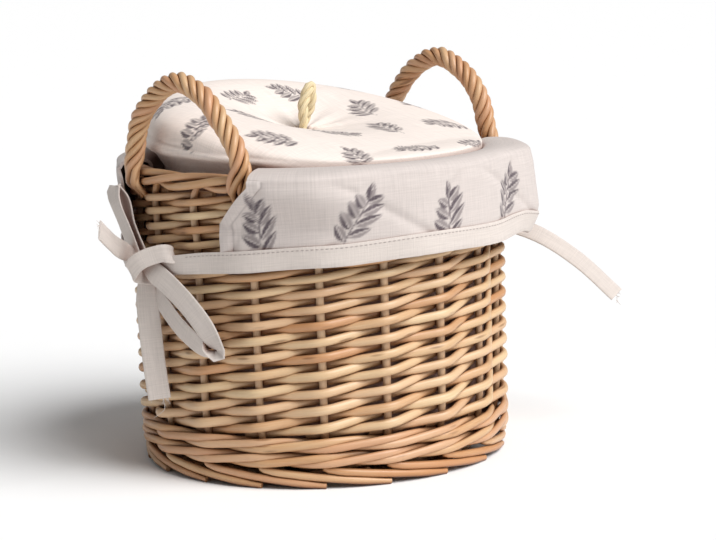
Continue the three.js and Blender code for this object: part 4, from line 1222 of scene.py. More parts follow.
def flap_grid(f, face_turn):
    """A flap from its seam inside, over the border and down to its hem: points and flat cut."""
    over_fold = np.linspace(math.pi, 0, FOLD_ROWS, endpoint=False)
    fold = np.concatenate([np.full(SEAM_ROWS, math.pi), over_fold, np.zeros(DROP_ROWS)])[:, None]
    inside = np.linspace(f.bag_high + CLOTH_GAP - f.fold_base, 0, SEAM_ROWS, endpoint=False)
    down = np.linspace(0, f.flap_hem - f.fold_base, DROP_ROWS)
    below = np.concatenate([inside, np.zeros(FOLD_ROWS), down])[:, None]
    outside = (np.arange(len(below)) >= SEAM_ROWS + FOLD_ROWS)[:, None]
    share = np.linspace(0, 1, FLAP_COLUMNS)[None, :]
    hem_notch = notch_turn(f, f.flap_hem)
    hem_turn = math.pi + lerp(hem_notch, math.pi - hem_notch, share)
    lift = hem_lift(f, hem_turn + face_turn) * below / (f.flap_hem - f.fold_base) * outside
    z = f.fold_base + below + lift + f.fold_rise * np.sin(fold)
    notch = np.where(outside, notch_turn(f, z), notch_turn(f, f.fold_base))
    turns = math.pi + lerp(notch, math.pi - notch, share) + face_turn
    stand = np.maximum(np.cos(fold), 0) * flap_stand(f, z, turns)
    over_border = f.fold_middle + f.fold_half * np.cos(fold) + stand
    radius = np.where(outside, flap_radius(f, z, turns), over_border)
    depth = f.fold_half * np.cos(fold[:, 0])
    middle = np.stack([depth, 0 * depth, z[:, FLAP_COLUMNS // 2]], axis=-1)
    along = run_length(middle)[:, None]
    flat_x = (turns - face_turn - 1.5 * math.pi) * f.flap_outer
    flat = np.stack(np.broadcast_arrays(flat_x, -along), axis=-1)
    return radius, turns, z, flat, outside


# Bag: radius of the turn between floor and side, hole in the middle of its grid, columns, and the
# height that the round floor takes in the flat strip
BAG_TURN = 0.004
BAG_MIDDLE = 0.001
BAG_COLUMNS = 145
# Side hems of a flap: their rise and edge, and ink, distance and width of the seam's line, a dark line
# that is partly stitching and partly painted shade at the hem's edge
SIDE_HEM_RISE = 0.0012
SEAM_INK_AND_SHADE = 0.3
SEAM_OFF = 0.0008
SEAM_WIDTH = 0.0009
# Quilting: slants of its lines, their shift, width of a groove, puff between the grooves, and the
# run below the fold over which it starts
QUILT_SLANTS = (58, -30)
QUILT_SHIFT = 0.18
QUILT_GROOVE = 0.004
QUILT_PUFF = 0.0016
QUILT_START = 0.008
# Sprigs on a flap: place along it, place from its seam and lean in radians
FLAP_SPRIGS = (
    (-0.150, -0.069, 0.35),
    (-0.083, -0.064, -0.3),
    (-0.012, -0.071, 0.2),
    (0.060, -0.064, -0.25),
    (0.128, -0.069, 0.3),
)


class BASKET_OT_liner(bpy.types.Operator):
    """Adds the liner's bag and its two flaps"""

    bl_idname = "basket.liner"
    bl_label = "Liner"

    def execute(self, context):
        f = fits(context.scene)
        self.bag(context, f)
        for face, turn in (("front", 0), ("back", math.pi)):
            self.flap(context, f, face, turn)
        return {"FINISHED"}

    def bag(self, context, f):
        """The bag, from the middle of its floor to the seam below the border."""
        low = f.bag_low_radius - f.c.cloth / 2
        high = f.bag_high_radius - f.c.cloth / 2
        floor = f.bag_floor + f.c.cloth / 2
        corners = [(BAG_MIDDLE, floor), (low * 0.5, floor)]
        corners += [(low - BAG_TURN, floor), (low, floor + BAG_TURN)]
        corners += [(low, f.weave_low), (high, f.bag_high - f.c.cloth / 2)]
        profile = smooth_path(np.array([(r, 0, z) for r, z in corners]), BAG_STEP)
        turn = np.linspace(0, TAU, BAG_COLUMNS)[None, :]
        along = run_length(profile)[:, None]
        grid = polar(profile[:, :1], turn, profile[:, 2:])
        flat = np.stack([along * np.cos(turn), along * np.sin(turn)], axis=-1)
        part = cloth(grid, f.c.cloth, flat)
        bag = piece("linen_bag", [part], linen(context.scene), ["liner_bag"])

    def flap(self, context, f, face, turn):
        """A flap, quilted and printed, with hems folded along its ends."""
        radius, turns, z, flat, outside = flap_grid(f, turn)
        x, y = flat[..., 0], flat[..., 1]
        from_end = np.minimum(x - x[:, :1], x[:, -1:] - x)
        hem = SIDE_HEM_RISE * outside * smoothstep(f.c.side_hem - from_end, 0, SIDE_HEM_RISE)
        # Partly the stitched seam, partly painted shade where the hem's edge steps down
        seam = SEAM_INK_AND_SHADE * outside * bump(from_end, f.c.side_hem + SEAM_OFF, SEAM_WIDTH)
        grooves = np.zeros(turns.shape)
        for slant in np.radians(QUILT_SLANTS):
            across = x * math.sin(slant) - y * math.cos(slant)
            place = np.abs((across / f.c.quilt + QUILT_SHIFT) % 1 - 0.5) * f.c.quilt
            grooves = np.maximum(grooves, bump(place, 0, QUILT_GROOVE))
        quilted = outside * smoothstep(f.fold_base - z, 0, QUILT_START)
        puff = QUILT_PUFF * (0.5 - grooves) * quilted
        grid = polar(radius + hem + puff, turns, z)
        ink = np.maximum(print_of(x, y, FLAP_SPRIGS, f.c.motif), seam)
        part = cloth(grid, f.c.cloth, flat, ink)
        name = f"flap_{face}"
        obj = piece(f"linen_{name}", [part], linen(context.scene), [name])


# Lid: rings of its hollow and its shoulder, outside and inside, and steps round it
OUTER_RINGS = (52, 40)
INNER_RINGS = (10, 12)
LID_STEPS = 432
# Sprigs on the lid: steps along and between rows, rows each way, step of their lean in radians,
# clear radius round the pull, and size beside those on the flaps
SPRIG_STEP = 0.062
SPRIG_ROW = 0.058
SPRIG_ROWS = range(-2, 3)
SPRIG_LEAN = 0.9
SPRIG_CLEAR = 0.02
SPRIG_SIZE = 0.92
# Section: rounding and depth of the hole's lip, where the hollow bends on its way to the crown,
# fullness of the shoulder, top and rings of the flank, and height and depth of the plug's edge
LIP_ROUND = 0.002
LIP_DEPTH = 0.007
HOLLOW_LOW = 0.45
HOLLOW_HIGH = 0.65
SHOULDER = 0.8
FLANK_TOP = 0.85
FLANK_RINGS = 6
PLUG_EDGE_HEIGHT = 0.005
PLUG_EDGE = 0.0035
# Side on which the cushion sits up from its seat, and where across the lid that starts and ends
LIFT_TURN = 145
LIFT_REACH = (0.15, 0.95)
# There: how far it lifts, how far the flank rounds in below and stands full, how far the plug draws
# in, and how near to the seat and to the plug a point counts as theirs
SEAT_LIFT = 0.005
FLANK_ROUND = 0.0045
FLANK_FULL = 0.017
PLUG_DRAW = 0.004
SEAT_NEAR = 0.003
FLANK_NEAR = 0.004
PLUG_NEAR = 0.0001
# Puckers round the pull, their sway, depth and reach; reach of the draw to one side; and the height
# above the seat at which the crown counts
PUCKERS = 9
PUCKER_SWAY = 1.3
PUCKER_DEPTH = 0.0011
PUCKER_REACH = 0.03
DRAW_REACH = 0.045
CROWN_START = 0.01


class BASKET_OT_lid(bpy.types.Operator):
    """Adds the lid's covers and its filling"""

    bl_idname = "basket.lid"
    bl_label = "Lid"

    def execute(self, context):
        f = fits(context.scene)
        scene = context.scene
        c = scene.basket_colours
        cover = made("lid_linen_printed", linen_material, c.lid_linen, c.ink, c.hollow)
        outer = self.section(f, 0, *OUTER_RINGS)
        inner = self.section(f, f.d.cloth, *INNER_RINGS)
        shell = self.turn(f, np.concatenate([outer, inner[::-1]]))
        printed = np.arange(len(shell.points)) < len(outer) * LID_STEPS
        places, size = self.sprigs(), f.c.motif * SPRIG_SIZE
        shell.ink = print_of(shell.flat[:, 0], shell.flat[:, 1], places, size) * printed
        lid = piece("lid_cover", [shell], cover, ["lid_top_cover"], "lid")
        core = self.section(f, f.d.cloth + f.d.loose, *INNER_RINGS)
        floor = f.lid_floor + f.d.cloth + CLOTH_GAP
        core = np.concatenate([core[:-1], [[core[-1][0], floor], [core[0][0], floor]]])
        filling = made("fibre_filling_carded", filling_material, c.filling)
        pad = piece("lid_filling", [self.turn(f, core)], filling, ["lid_pad"], "lid")
        edge, hole = f.plug_radius - PLUG_EDGE, f.pull_hole
        low, high = f.lid_floor, f.lid_floor + f.d.cloth
        disc = [(hole, low), (edge * 0.5, low), (edge, low), (edge, high), (hole, high)]
        part = self.turn(f, np.array(disc))
        base = piece("lid_base", [part], linen(scene), ["lid_base_cover"], "lid")
        return {"FINISHED"}

    def sprigs(self):
        """Places and leans of the sprigs, in staggered rows that leave the middle free."""
        return [
            (
                SPRIG_STEP * col + (SPRIG_STEP / 2 if row % 2 else 0),
                SPRIG_ROW * row,
                SPRIG_LEAN * ((3 * row + 2 * col) % 5 - 2),
            )
            for row in SPRIG_ROWS
            for col in SPRIG_ROWS
            if math.hypot(SPRIG_STEP * col, SPRIG_ROW * row) > SPRIG_CLEAR
        ]

    def section(self, f, depth, hollow_rings, shoulder_rings):
        """The cushion from the rope's hole over the crown to the plug's lower edge."""
        d = f.d
        rise, side = f.crown - f.lid_seat, f.bulge - d.crown_radius
        hole = f.pull_hole - LIP_ROUND
        lip = [(hole + depth, f.dimple - LIP_DEPTH), (hole + depth, f.dimple - LIP_ROUND - depth)]
        first = np.array([hole + LIP_ROUND + depth, f.dimple - depth])
        second = np.array([lerp(hole, d.crown_radius, HOLLOW_LOW), -depth])
        second[1] += lerp(f.dimple, f.crown, HOLLOW_LOW)
        third = np.array([lerp(hole, d.crown_radius, HOLLOW_HIGH), f.crown - depth])
        fourth = np.array([d.crown_radius, f.crown - depth])
        t = np.linspace(0, 1, hollow_rings, endpoint=False)[:, None]
        hollow = (1 - t) ** 3 * first + 3 * t * (1 - t) ** 2 * second
        hollow += 3 * t**2 * (1 - t) * third + t**3 * fourth
        turn = np.linspace(0, math.pi / 2, shoulder_rings)
        height = f.lid_seat + d.side + (rise - d.side - depth) * np.cos(turn) ** SHOULDER
        shoulder = np.stack([d.crown_radius + (side - depth) * np.sin(turn), height], axis=-1)
        down = np.linspace(FLANK_TOP, 0, FLANK_RINGS)
        flank = np.stack([0 * down + f.bulge - depth, f.lid_seat + depth / 2 + d.side * down], -1)
        lower = [
            (f.plug_radius - depth, f.lid_seat - d.overhang * f.seat_slope + depth / 2),
            (f.plug_radius - depth, f.lid_floor + PLUG_EDGE_HEIGHT),
            (f.plug_radius - PLUG_EDGE - depth, f.lid_floor + d.cloth + CLOTH_GAP),
        ]
        return np.concatenate([lip, hollow, shoulder, flank, lower])

    def turn(self, f, section):
        """A body turned from a closed section, fuller on one side and lifted on another."""
        d = f.d
        turn = TAU * np.arange(LID_STEPS) / LID_STEPS
        radius, z = section[:, :1], section[:, 1:]
        height = np.maximum(z - f.lid_seat, 0)
        share = radius * np.cos(turn - d.settle_turn) / f.bulge
        off = radius * np.cos(turn - math.radians(LIFT_TURN)) / f.bulge
        off = smoothstep(off, *LIFT_REACH)
        low = np.clip(1 - height / d.side, 0, 1) * (radius > f.plug_radius - FLANK_NEAR)
        in_plug = (radius < f.plug_radius + PLUG_NEAR) * (height < FLANK_NEAR)
        round_in = FLANK_ROUND * off * low**2 + PLUG_DRAW * off * in_plug
        full = FLANK_FULL * off * low * (1 - low)
        pucker = bump(radius, f.pull_hole, PUCKER_REACH) * (height > CROWN_START)
        pucker = pucker * np.cos(PUCKERS * turn + PUCKER_SWAY * np.sin(turn))
        z = z - height + height * np.maximum(1 + d.settle * share, d.thin)
        lift = SEAT_LIFT * off * low * (z > f.lid_seat - SEAT_NEAR)
        points = polar(radius - round_in + full, turn, z - PUCKER_DEPTH * pucker + lift)
        drawn = d.pull_draw * bump(radius, 0, DRAW_REACH) * smoothstep(height, 0, CROWN_START)
        points = (points + drawn[..., None] * polar(1, d.pull_draw_turn, 0)).reshape(-1, 3)
        rings = len(section)
        faces = grid_faces(rings, LID_STEPS, closed=True)
        last = (rings - 1) * LID_STEPS
        around = np.arange(LID_STEPS)
        ahead = (around + 1) % LID_STEPS
        faces += np.stack([last + around, last + ahead, ahead, around], axis=-1).tolist()
        along = run_length(np.concatenate([[[0, section[0, 1]]], section]))[1:, None]
        flat = np.stack([along * np.cos(turn), along * np.sin(turn), 0 * along * turn], axis=-1)
        return SimpleNamespace(
            points=points,
            faces=self.facing_out(points, faces),
            flat=flat.reshape(-1, 3),
            tone=np.full(len(points), 0.5),
            ink=np.zeros(len(points)),
        )

    def facing_out(self, points, faces):
        """The faces, turned round if they face in."""
        quads = np.array(faces)
        a, b, c, e = (points[quads[:, i]] for i in range(4))
        volume = (np.cross(b, c) * a).sum() + (np.cross(c, e) * a).sum()
        return faces if volume > 0 else quads[:, ::-1].tolist()


# Pull: spread of its legs and its loop beside the rope's, where it bends on its way up, twist of
# the legs in the hole, where in the rise that ends, lean of its top, and squeeze in the hole
PULL_LEGS = 1.05
PULL_LOOP = 1.2
PULL_BEND = 0.6
PULL_TWIST = 31
PULL_TWIST_END = 0.7
PULL_LEAN = 0.8
PULL_SQUEEZE = 0.25
SQUEEZE_REACH = 0.009
PULL_STEP = 0.0015
# Rope: strands and their sides, how much fuller they are than round, and lay in loop and knot
ROPE_STRANDS = 3
ROPE_SIDES = 10
ROPE_FULL = 1.06
LOOP_LAY = 0.026
KNOT_LAY = 0.024
# Knot: turns and stops of its coil, thickness of the rope in it, and how it strays in and out and
# up and down
KNOT_TURNS = 2
KNOT_STOPS = 90
KNOT_ROPE = 0.9
KNOT_IN = 0.12
KNOT_IN_WAVES = 2.5
KNOT_UP = 0.0028
KNOT_UP_WAVES = 1.5
KNOT_UP_START = 0.6


class BASKET_OT_pull(bpy.types.Operator):
    """Adds the rope pull of the lid with its knot below"""

    bl_idname = "basket.pull"
    bl_label = "Rope pull"

    def execute(self, context):
        f = fits(context.scene)
        d = f.d
        knot_top = f.lid_floor - CLOTH_GAP
        knot_middle = knot_top - d.pull_knot_height / 2
        loop = self.loop(f, knot_top, knot_middle)
        squeeze = 1 - PULL_SQUEEZE * bump(loop[:, 2], f.dimple, SQUEEZE_REACH)
        parts = self.strands(loop, np.array([0, 1.0, 0]), d.pull_rope * squeeze, LOOP_LAY)
        wrap = np.linspace(0, KNOT_TURNS * TAU, KNOT_STOPS)
        ring = (d.pull_knot - d.pull_rope) / 2
        x = ring * np.cos(wrap) * (1 - KNOT_IN * np.cos(KNOT_IN_WAVES * wrap))
        z = knot_middle + KNOT_UP * np.sin(KNOT_UP_WAVES * wrap + KNOT_UP_START)
        coil = np.stack([x, ring * np.sin(wrap), z], axis=-1)
        parts += self.strands(coil, UP, d.pull_rope * KNOT_ROPE, KNOT_LAY)
        parts = [turned(part, d.pull_turn) for part in parts]
        straw = made("straw_rope_laid", straw_material, context.scene.basket_colours.straw)
        piece("rope_pull", parts, straw, ["lid_rope_pull"], "lid")
        return {"FINISHED"}

    def loop(self, f, knot_top, knot_middle):
        """The rope's middle line, up from the knot through the hole, over the top and down."""
        d = f.d
        top = f.dimple + d.pull_rise - d.pull_rope / 2
        leg, wide = PULL_LEGS * f.pull_leg, PULL_LOOP * f.pull_leg
        route = [(-leg, knot_middle), (-leg, lerp(knot_top, f.dimple, PULL_BEND))]
        route += [(-leg, f.dimple), (-wide, lerp(f.dimple, top, PULL_BEND))]
        route = np.array(route + [(0, top)] + [(-x, z) for x, z in route[::-1]])
        path = smooth_path(np.stack([route[:, 0], 0 * route[:, 0], route[:, 1]], -1), PULL_STEP)
        twist = falling(path[:, 2], f.dimple, lerp(f.dimple, top, PULL_TWIST_END))
        twist = math.radians(PULL_TWIST) * twist
        path[:, 1] = path[:, 0] * np.sin(twist)
        path[:, 0] = path[:, 0] * np.cos(twist)
        drawn = smoothstep(path[:, 2], knot_top, f.dimple)
        drawn -= PULL_LEAN * np.clip((path[:, 2] - f.dimple) / d.pull_rise, 0, 1)
        return path + d.pull_draw * drawn[:, None] * polar(1, d.pull_draw_turn - d.pull_turn, 0)

    def strands(self, path, normals, diameter, lay):
        """Strands laid round each other along a path."""
        diameter = np.broadcast_to(diameter, len(path))
        thick = diameter / (1 + 1 / math.sin(math.pi / ROPE_STRANDS)) * ROPE_FULL
        normal, side = square_to(path, normals)
        laid = []
        for number in range(ROPE_STRANDS):
            turn = (TAU * (run_length(path) / lay + number / ROPE_STRANDS))[:, None]
            off = (normal * np.cos(turn) + side * np.sin(turn)) * (diameter - thick)[:, None] / 2
            laid.append(tube(path + off, normal, round_section(thick, ROPE_SIDES)))
        return laid


# Bands: distance of their ends from the knots, stops along and rows across, width where they are
# gathered, waves along them, sharpness and depth of their folded edges
BAND_START = 0.0165
BAND_END = 0.001
BAND_STOPS = 260
BAND_ROWS = 11
BAND_GATHERED = 0.011
BAND_WAVES = 7
BAND_WAVE = 0.0008
BAND_FOLD = 8
BAND_FOLD_DEPTH = 0.0005
# Share of the knots' hang that the bands follow, and shares of the run from a knot to the flap over
# which the waves, that hang and the full width come
BAND_HANG = 0.5
WAVE_FADE = (0.6, 1.4)
HANG_FADE = (-0.1, 0.9)
WIDTH_FADE = (-0.3, 0.9)
# Stitches: place above the band's middle in shares of its width, distance from the ends, step, length,
# thicknesses along one, height in thicknesses of the band, and ink, partly dark thread and partly painted
# shade of the crease they sit in
STITCH_PLACE = 0.36
STITCH_CLEAR = 0.03
STITCH_STEP = 0.0034
STITCH_LENGTH = 0.0023
STITCH_THREAD = np.array([0.0002, 0.0006, 0.0006, 0.0002])
STITCH_HEIGHT = 0.55
STITCH_INK_AND_SHADE = 0.45
THREAD_SIDES = 5


class BASKET_OT_binding(bpy.types.Operator):
    """Adds the bands sewn round the flaps' hems, with their stitches"""

    bl_idname = "basket.binding"
    bl_label = "Bindings"

    def execute(self, context):
        f = fits(context.scene)
        for face, turn in (("front", 0), ("back", math.pi)):
            run = self.run(f, turn)
            parts = [self.band(f, run), *self.stitches(f, self.row(f, run, STITCH_PLACE))]
            name = f"binding_{face}"
            obj = piece(f"tape_{name}", parts, tape(context.scene), [name])
            cut = (f.c.binding_width, float(run_length(self.row(f, run, 0))[-1]))
        return {"FINISHED"}

    def run(self, f, face_turn):
        """The band's angles from knot to knot, its height and width there, and how far it lies on
        the flap."""
        start, end = BAND_START / f.knot_radius, BAND_END / f.knot_radius
        turns = np.linspace(f.knot_turn + start, f.knot_turn + math.pi - end, BAND_STOPS)
        hem = notch_turn(f, f.flap_hem)
        first = (turns - turns[0]) / (hem - f.c.knot_turn - start)
        last = (turns[-1] - turns) / (hem + f.c.knot_turn - end)
        past = np.minimum(first, last)
        wave = BAND_WAVE * np.cos(BAND_WAVES * turns) * smoothstep(past, *WAVE_FADE)
        hang = BAND_HANG * f.c.knot_hang * falling(past, *HANG_FADE)
        z = f.band_height + hem_lift(f, turns + face_turn) + wave - hang
        widths = lerp(BAND_GATHERED, f.c.binding_width, smoothstep(past, *WIDTH_FADE))
        return turns + face_turn, z, widths, smoothstep(past, 0, 1)

    def row(self, f, run, across):
        """The band's points at a share of its width above its middle."""
        turns, z, widths, on_flap = run
        z = z + across * widths
        radius = lerp(f.knot_radius, flap_radius(f, z, turns) + f.binding_out, on_flap)
        return polar(radius, turns, z)

    def band(self, f, run):
        """The band itself, creased along its folded edges."""
        shares = np.linspace(0.5, -0.5, BAND_ROWS)
        rows = np.stack([self.row(f, run, share) for share in shares])
        full = np.sqrt(np.clip(1 - (2 * shares) ** BAND_FOLD, 0, 1))[:, None, None]
        grid = rows + outward(rows) * BAND_FOLD_DEPTH * (full - 1)
        along = run_length(self.row(f, run, 0))[None, :]
        flat = np.stack(np.broadcast_arrays(along, shares[:, None] * run[2]), axis=-1)
        return cloth(grid, f.c.binding_cloth, flat)

    def stitches(self, f, path):
        """Stitches along the upper edge of the band."""
        along = run_length(path)
        row = path + outward(path) * f.c.binding_cloth * STITCH_HEIGHT
        section = round_section(STITCH_THREAD, THREAD_SIDES)
        sewn = []
        for start in np.arange(STITCH_CLEAR, along[-1] - STITCH_CLEAR, STITCH_STEP):
            place = start + np.linspace(0, STITCH_LENGTH, len(STITCH_THREAD))
            stitch = np.stack([np.interp(place, along, row[:, i]) for i in range(3)], axis=-1)
            thread = tube(stitch, outward(stitch), section)
            # Dark thread, and painted shade of the seam's crease
            thread.ink += STITCH_INK_AND_SHADE
            sewn.append(thread)
        return sewn


# Places along the tapes of a bow: degrees from the knot, what the radius is given from, radius and
# height above the knot
KNOT = "knot"
FACE = "face of the wicker"
UPPER_LOOP = (
    (0, KNOT, 0.002, 0.002),
    (-6, KNOT, 0.006, 0.028),
    (-10, KNOT, 0.009, 0.051),
    (-11.5, KNOT, 0.007, 0.0555),
    (-10.5, KNOT, 0.0035, 0.051),
    (-6.5, KNOT, 0.001, 0.028),
    (0, KNOT, -0.002, 0.002),
)
LOWER_LOOP = (
    (1, KNOT, 0.001, 0.003),
    (7, KNOT, 0.004, -0.001),
    (13.5, KNOT, 0.004, -0.010),
    (20.5, FACE, 0.0095, -0.0255),
    (26, FACE, 0.007, -0.046),
    (27, FACE, 0.004, -0.0545),
    (24, FACE, 0.002, -0.0555),
    (15, FACE, 0.001, -0.045),
    (6.5, FACE, 0.001, -0.028),
    (-1.5, FACE, 0.001, -0.009),
    (-2, KNOT, -0.003, -0.001),
)
HANGING_TIE = (
    (0, KNOT, -0.001, -0.002),
    (0.5, FACE, 0.006, -0.024),
    (1.5, FACE, 0.006, -0.050),
    (3, FACE, 0.006, -0.076),
    (4.5, FACE, 0.006, -0.095),
)
# The tie that stands away: how far it reaches past the knot, and on the right the angle from the X
# axis at which it does so, with radii as shares of that reach
TIE_REACH = 0.0508
LEFT_TIE = (
    (0, KNOT, 0, 0.002),
    (-2.6, KNOT, 0.0073, 0.009),
    (-0.3, KNOT, 0.0197, 0.016),
    (4.1, KNOT, 0.0348, 0.025),
    (8.1, KNOT, TIE_REACH, 0.0345),
)
RIGHT_TIE_TURN = 22.3
RIGHT_TIE = (
    (0, 0, 0),
    (-7, 0.14, -0.003),
    (-13, 0.35, -0.011),
    (-18, 0.66, -0.031),
    (-22, 0.97, -0.059),
)
# How the tapes are turned: along the wall, up and out for the lower loop's limbs, which change over
# before its tip and are level at it, and out for the two ties
LOOP_TILT = (0.66, 0.66, -0.33)
LOOP_SLANT = 42
LOOP_CHANGE = (-0.03, -0.005)
LOOP_LEVEL = 0.012
HANGING_OUT = -1.25
RIGHT_TIE_LEAN = 0.7
RIGHT_TIE_OUT = 0.55
RIGHT_TIE_ALONG = 0.84
# Widths of the tapes beside a tie's, how far they are gathered at the knot and over how many stops
LOWER_LOOP_WIDTH = 1.08
HANGING_WIDTH = 1.1
STANDING_WIDTH = 0.95
WRAP_WIDTH = 0.86
GATHERED = 0.62
GATHER_STOPS = 10
TAPE_STEP = 0.0025
# Strip wrapped round the knot: angle it faces, its lean, its middle by radius, angle and height from
# the knot, its thickness beside a tie's, and its places to the side, up and to the front
WRAP_FACING = 57
WRAP_LEAN = 28
WRAP_OUT = 0.002
WRAP_TURN = 4.5
WRAP_UP = 0.0054
WRAP_THICK = 1.3
WRAP_STEP = 0.0012
WRAP_ROUTE = (
    (0.006, -0.012, -0.012),
    (-0.005, -0.011, -0.006),
    (-0.0135, -0.007, 0.002),
    (-0.008, 0.001, 0.010),
    (0.003, 0.006, 0.0135),
    (0.0125, 0.0075, 0.0155),
    (0.0175, 0.005, 0.013),
    (0.017, -0.001, 0.005),
    (0.012, -0.008, -0.006),
)
# Loose threads at a cut end: number, lengths, the long one on the hanging and on the standing tie,
# spread across the tape, start inside it, bends, thicknesses, and a direction for their sections
FRAY_THREADS = 9
FRAY_LENGTHS = (0.002, 0.005)
HANGING_FRAY = 0.016
STANDING_FRAY = 0.006
FRAY_SPREAD = 0.45
FRAY_START = 0.001
FRAY_BEND = 0.25
LONG_FRAY_BEND = -0.6
FRAY_STEP = 0.001
FRAY_THICKNESS = (0.0005, 0.0003)
FRAY_NORMAL = np.array([0.3, 0.5, 0.8])


class BASKET_OT_bows(bpy.types.Operator):
    """Adds the bows that the bindings' ends are tied in"""

    bl_idname = "basket.bows"
    bl_label = "Bows"

    def execute(self, context):
        f = fits(context.scene)
        far = f.knot_radius + TIE_REACH
        far = far / math.cos(f.c.knot_turn - math.radians(RIGHT_TIE_TURN)) - f.knot_radius
        right = [(turn, KNOT, share * far, up) for turn, share, up in RIGHT_TIE]
        sides = (("left", 0, LEFT_TIE, 0), ("right", math.pi, right, RIGHT_TIE_LEAN))
        for side, turn, tie, lean in sides:
            height = f.band_height + float(hem_lift(f, f.knot_turn + turn)) - f.c.knot_hang
            rng = np.random.default_rng(BOW_SEEDS[side])
            parts, long = self.bow(f, tie, height, rng, lean)
            name = f"bow_{side}"
            parts = [turned(part, turn) for part in parts]
            obj = piece(f"tape_{name}", parts, tape(context.scene), [name])
        return {"FINISHED"}

    def line(self, f, height, places):
        """A smooth line through places along a tape."""
        radius = {KNOT: f.knot_radius, FACE: f.tie_face}
        points = [
            polar(radius[start] + out, f.knot_turn + math.radians(turn), height + up)[0]
            for turn, start, out, up in places
        ]
        return smooth_path(points, TAPE_STEP)

    def strip(self, path, across, width, thickness, gathered=GATHERED):
        """A folded tape along a path, gathered where it leaves the knot."""
        share = smoothstep(np.arange(len(path)), 0, GATHER_STOPS)
        share = lerp(gathered, 1, share)[:, None, None]
        narrow = np.concatenate([share, np.ones(share.shape)], axis=-1)
        return tube(path, across, tape_section(width, thickness)[None] * narrow)

    def bow(self, f, tie, height, rng, lean):
        """The knot, two loops and two ties of the left bow, and the length of tape in them."""
        wide, thick = f.c.tie_width, f.c.tie_cloth
        out = outward(polar(1, f.knot_turn, 0))[0]
        along = np.cross(UP, out)
        upper = self.line(f, height, UPPER_LOOP)
        lower = self.line(f, height, LOWER_LOOP)
        hanging = self.line(f, height, HANGING_TIE)
        standing = self.line(f, height, tie)
        wrap, wrap_across = self.wrap(f, height, out, along)
        tilted = unit(np.array(LOOP_TILT) @ np.stack([along, UP, out]))
        slant = math.radians(LOOP_SLANT)
        slanted = along * math.cos(slant) + UP * math.sin(slant)
        from_tip = run_length(lower) - run_length(lower)[np.argmin(lower[:, 2])]
        limbs = lerp(tilted, slanted, smoothstep(from_tip, *LOOP_CHANGE)[:, None])
        lower_across = lerp(limbs, along, bump(from_tip, 0, LOOP_LEVEL)[:, None])
        hanging_across = unit(along + out * HANGING_OUT)
        standing_across = unit(UP + lean * (RIGHT_TIE_OUT * out + RIGHT_TIE_ALONG * along))
        parts = [
            self.strip(upper, along, wide, thick),
            self.strip(lower, lower_across, wide * LOWER_LOOP_WIDTH, thick),
            self.strip(hanging, hanging_across, wide * HANGING_WIDTH, thick),
            self.strip(standing, standing_across, wide * STANDING_WIDTH, thick),
            self.strip(wrap, wrap_across, wide * WRAP_WIDTH, thick * WRAP_THICK, 1),
        ]
        total = sum(float(run_length(p)[-1]) for p in (upper, lower, hanging, standing, wrap))
        parts += self.fray(hanging, hanging_across, wide, rng, HANGING_FRAY)
        parts += self.fray(standing, standing_across, wide, rng, STANDING_FRAY)
        return parts, total

    def wrap(self, f, height, out, along):
        """The strip wrapped round the knot: its path, and the direction of its width."""
        facing, lean = math.radians(WRAP_FACING), math.radians(WRAP_LEAN)
        front = out * math.cos(facing) + along * math.sin(facing)
        side = along * math.cos(facing) - out * math.sin(facing)
        turn = f.knot_turn + math.radians(WRAP_TURN)
        middle = polar(f.knot_radius + WRAP_OUT, turn, height + WRAP_UP)[0]
        path = smooth_path(middle + np.array(WRAP_ROUTE) @ np.stack([side, UP, front]), WRAP_STEP)
        return path, UP * math.cos(lean) - side * math.sin(lean)

    def fray(self, path, across, wide, rng, long_thread):
        """Loose threads at the cut end of a tie, one of them longer."""
        end, ahead = path[-1], unit(path[-1] - path[-4])
        threads = []
        for reach in (*rng.uniform(*FRAY_LENGTHS, FRAY_THREADS), long_thread):
            aside = rng.uniform(-FRAY_SPREAD, FRAY_SPREAD) * wide
            start = end + across * aside - ahead * FRAY_START
            bend = rng.normal(0, FRAY_BEND, 3) if reach < long_thread else LONG_FRAY_BEND * across
            points = [start, start + ahead * reach * 0.5, start + unit(ahead + bend) * reach]
            line = smooth_path(points, FRAY_STEP)
            section = round_section(np.linspace(*FRAY_THICKNESS, len(line)), THREAD_SIDES)
            threads.append(tube(line, FRAY_NORMAL, section))
        return threads


# Floor's half width; lights by name, place, width in degrees and power; and the world's light
FLOOR_HALF = 30
LIGHTS = (
    ("key", (0.2, -1.15, 1.3), 42, 3.35),
    ("fill", (0.15, -1.2, 0.35), 40, 0.4),
)
WORLD_LIGHT = 0.24
# Camera: place, point it looks at, lens in millimetres, roll in degrees and furthest sight
CAMERA_PLACE = (-1.1507, -1.2514, 0.4036)
CAMERA_TARGET = (0.00633, -0.03470, 0.13731)
CAMERA_LENS = 114.9
CAMERA_ROLL = -1.94
CAMERA_SIGHT = 200


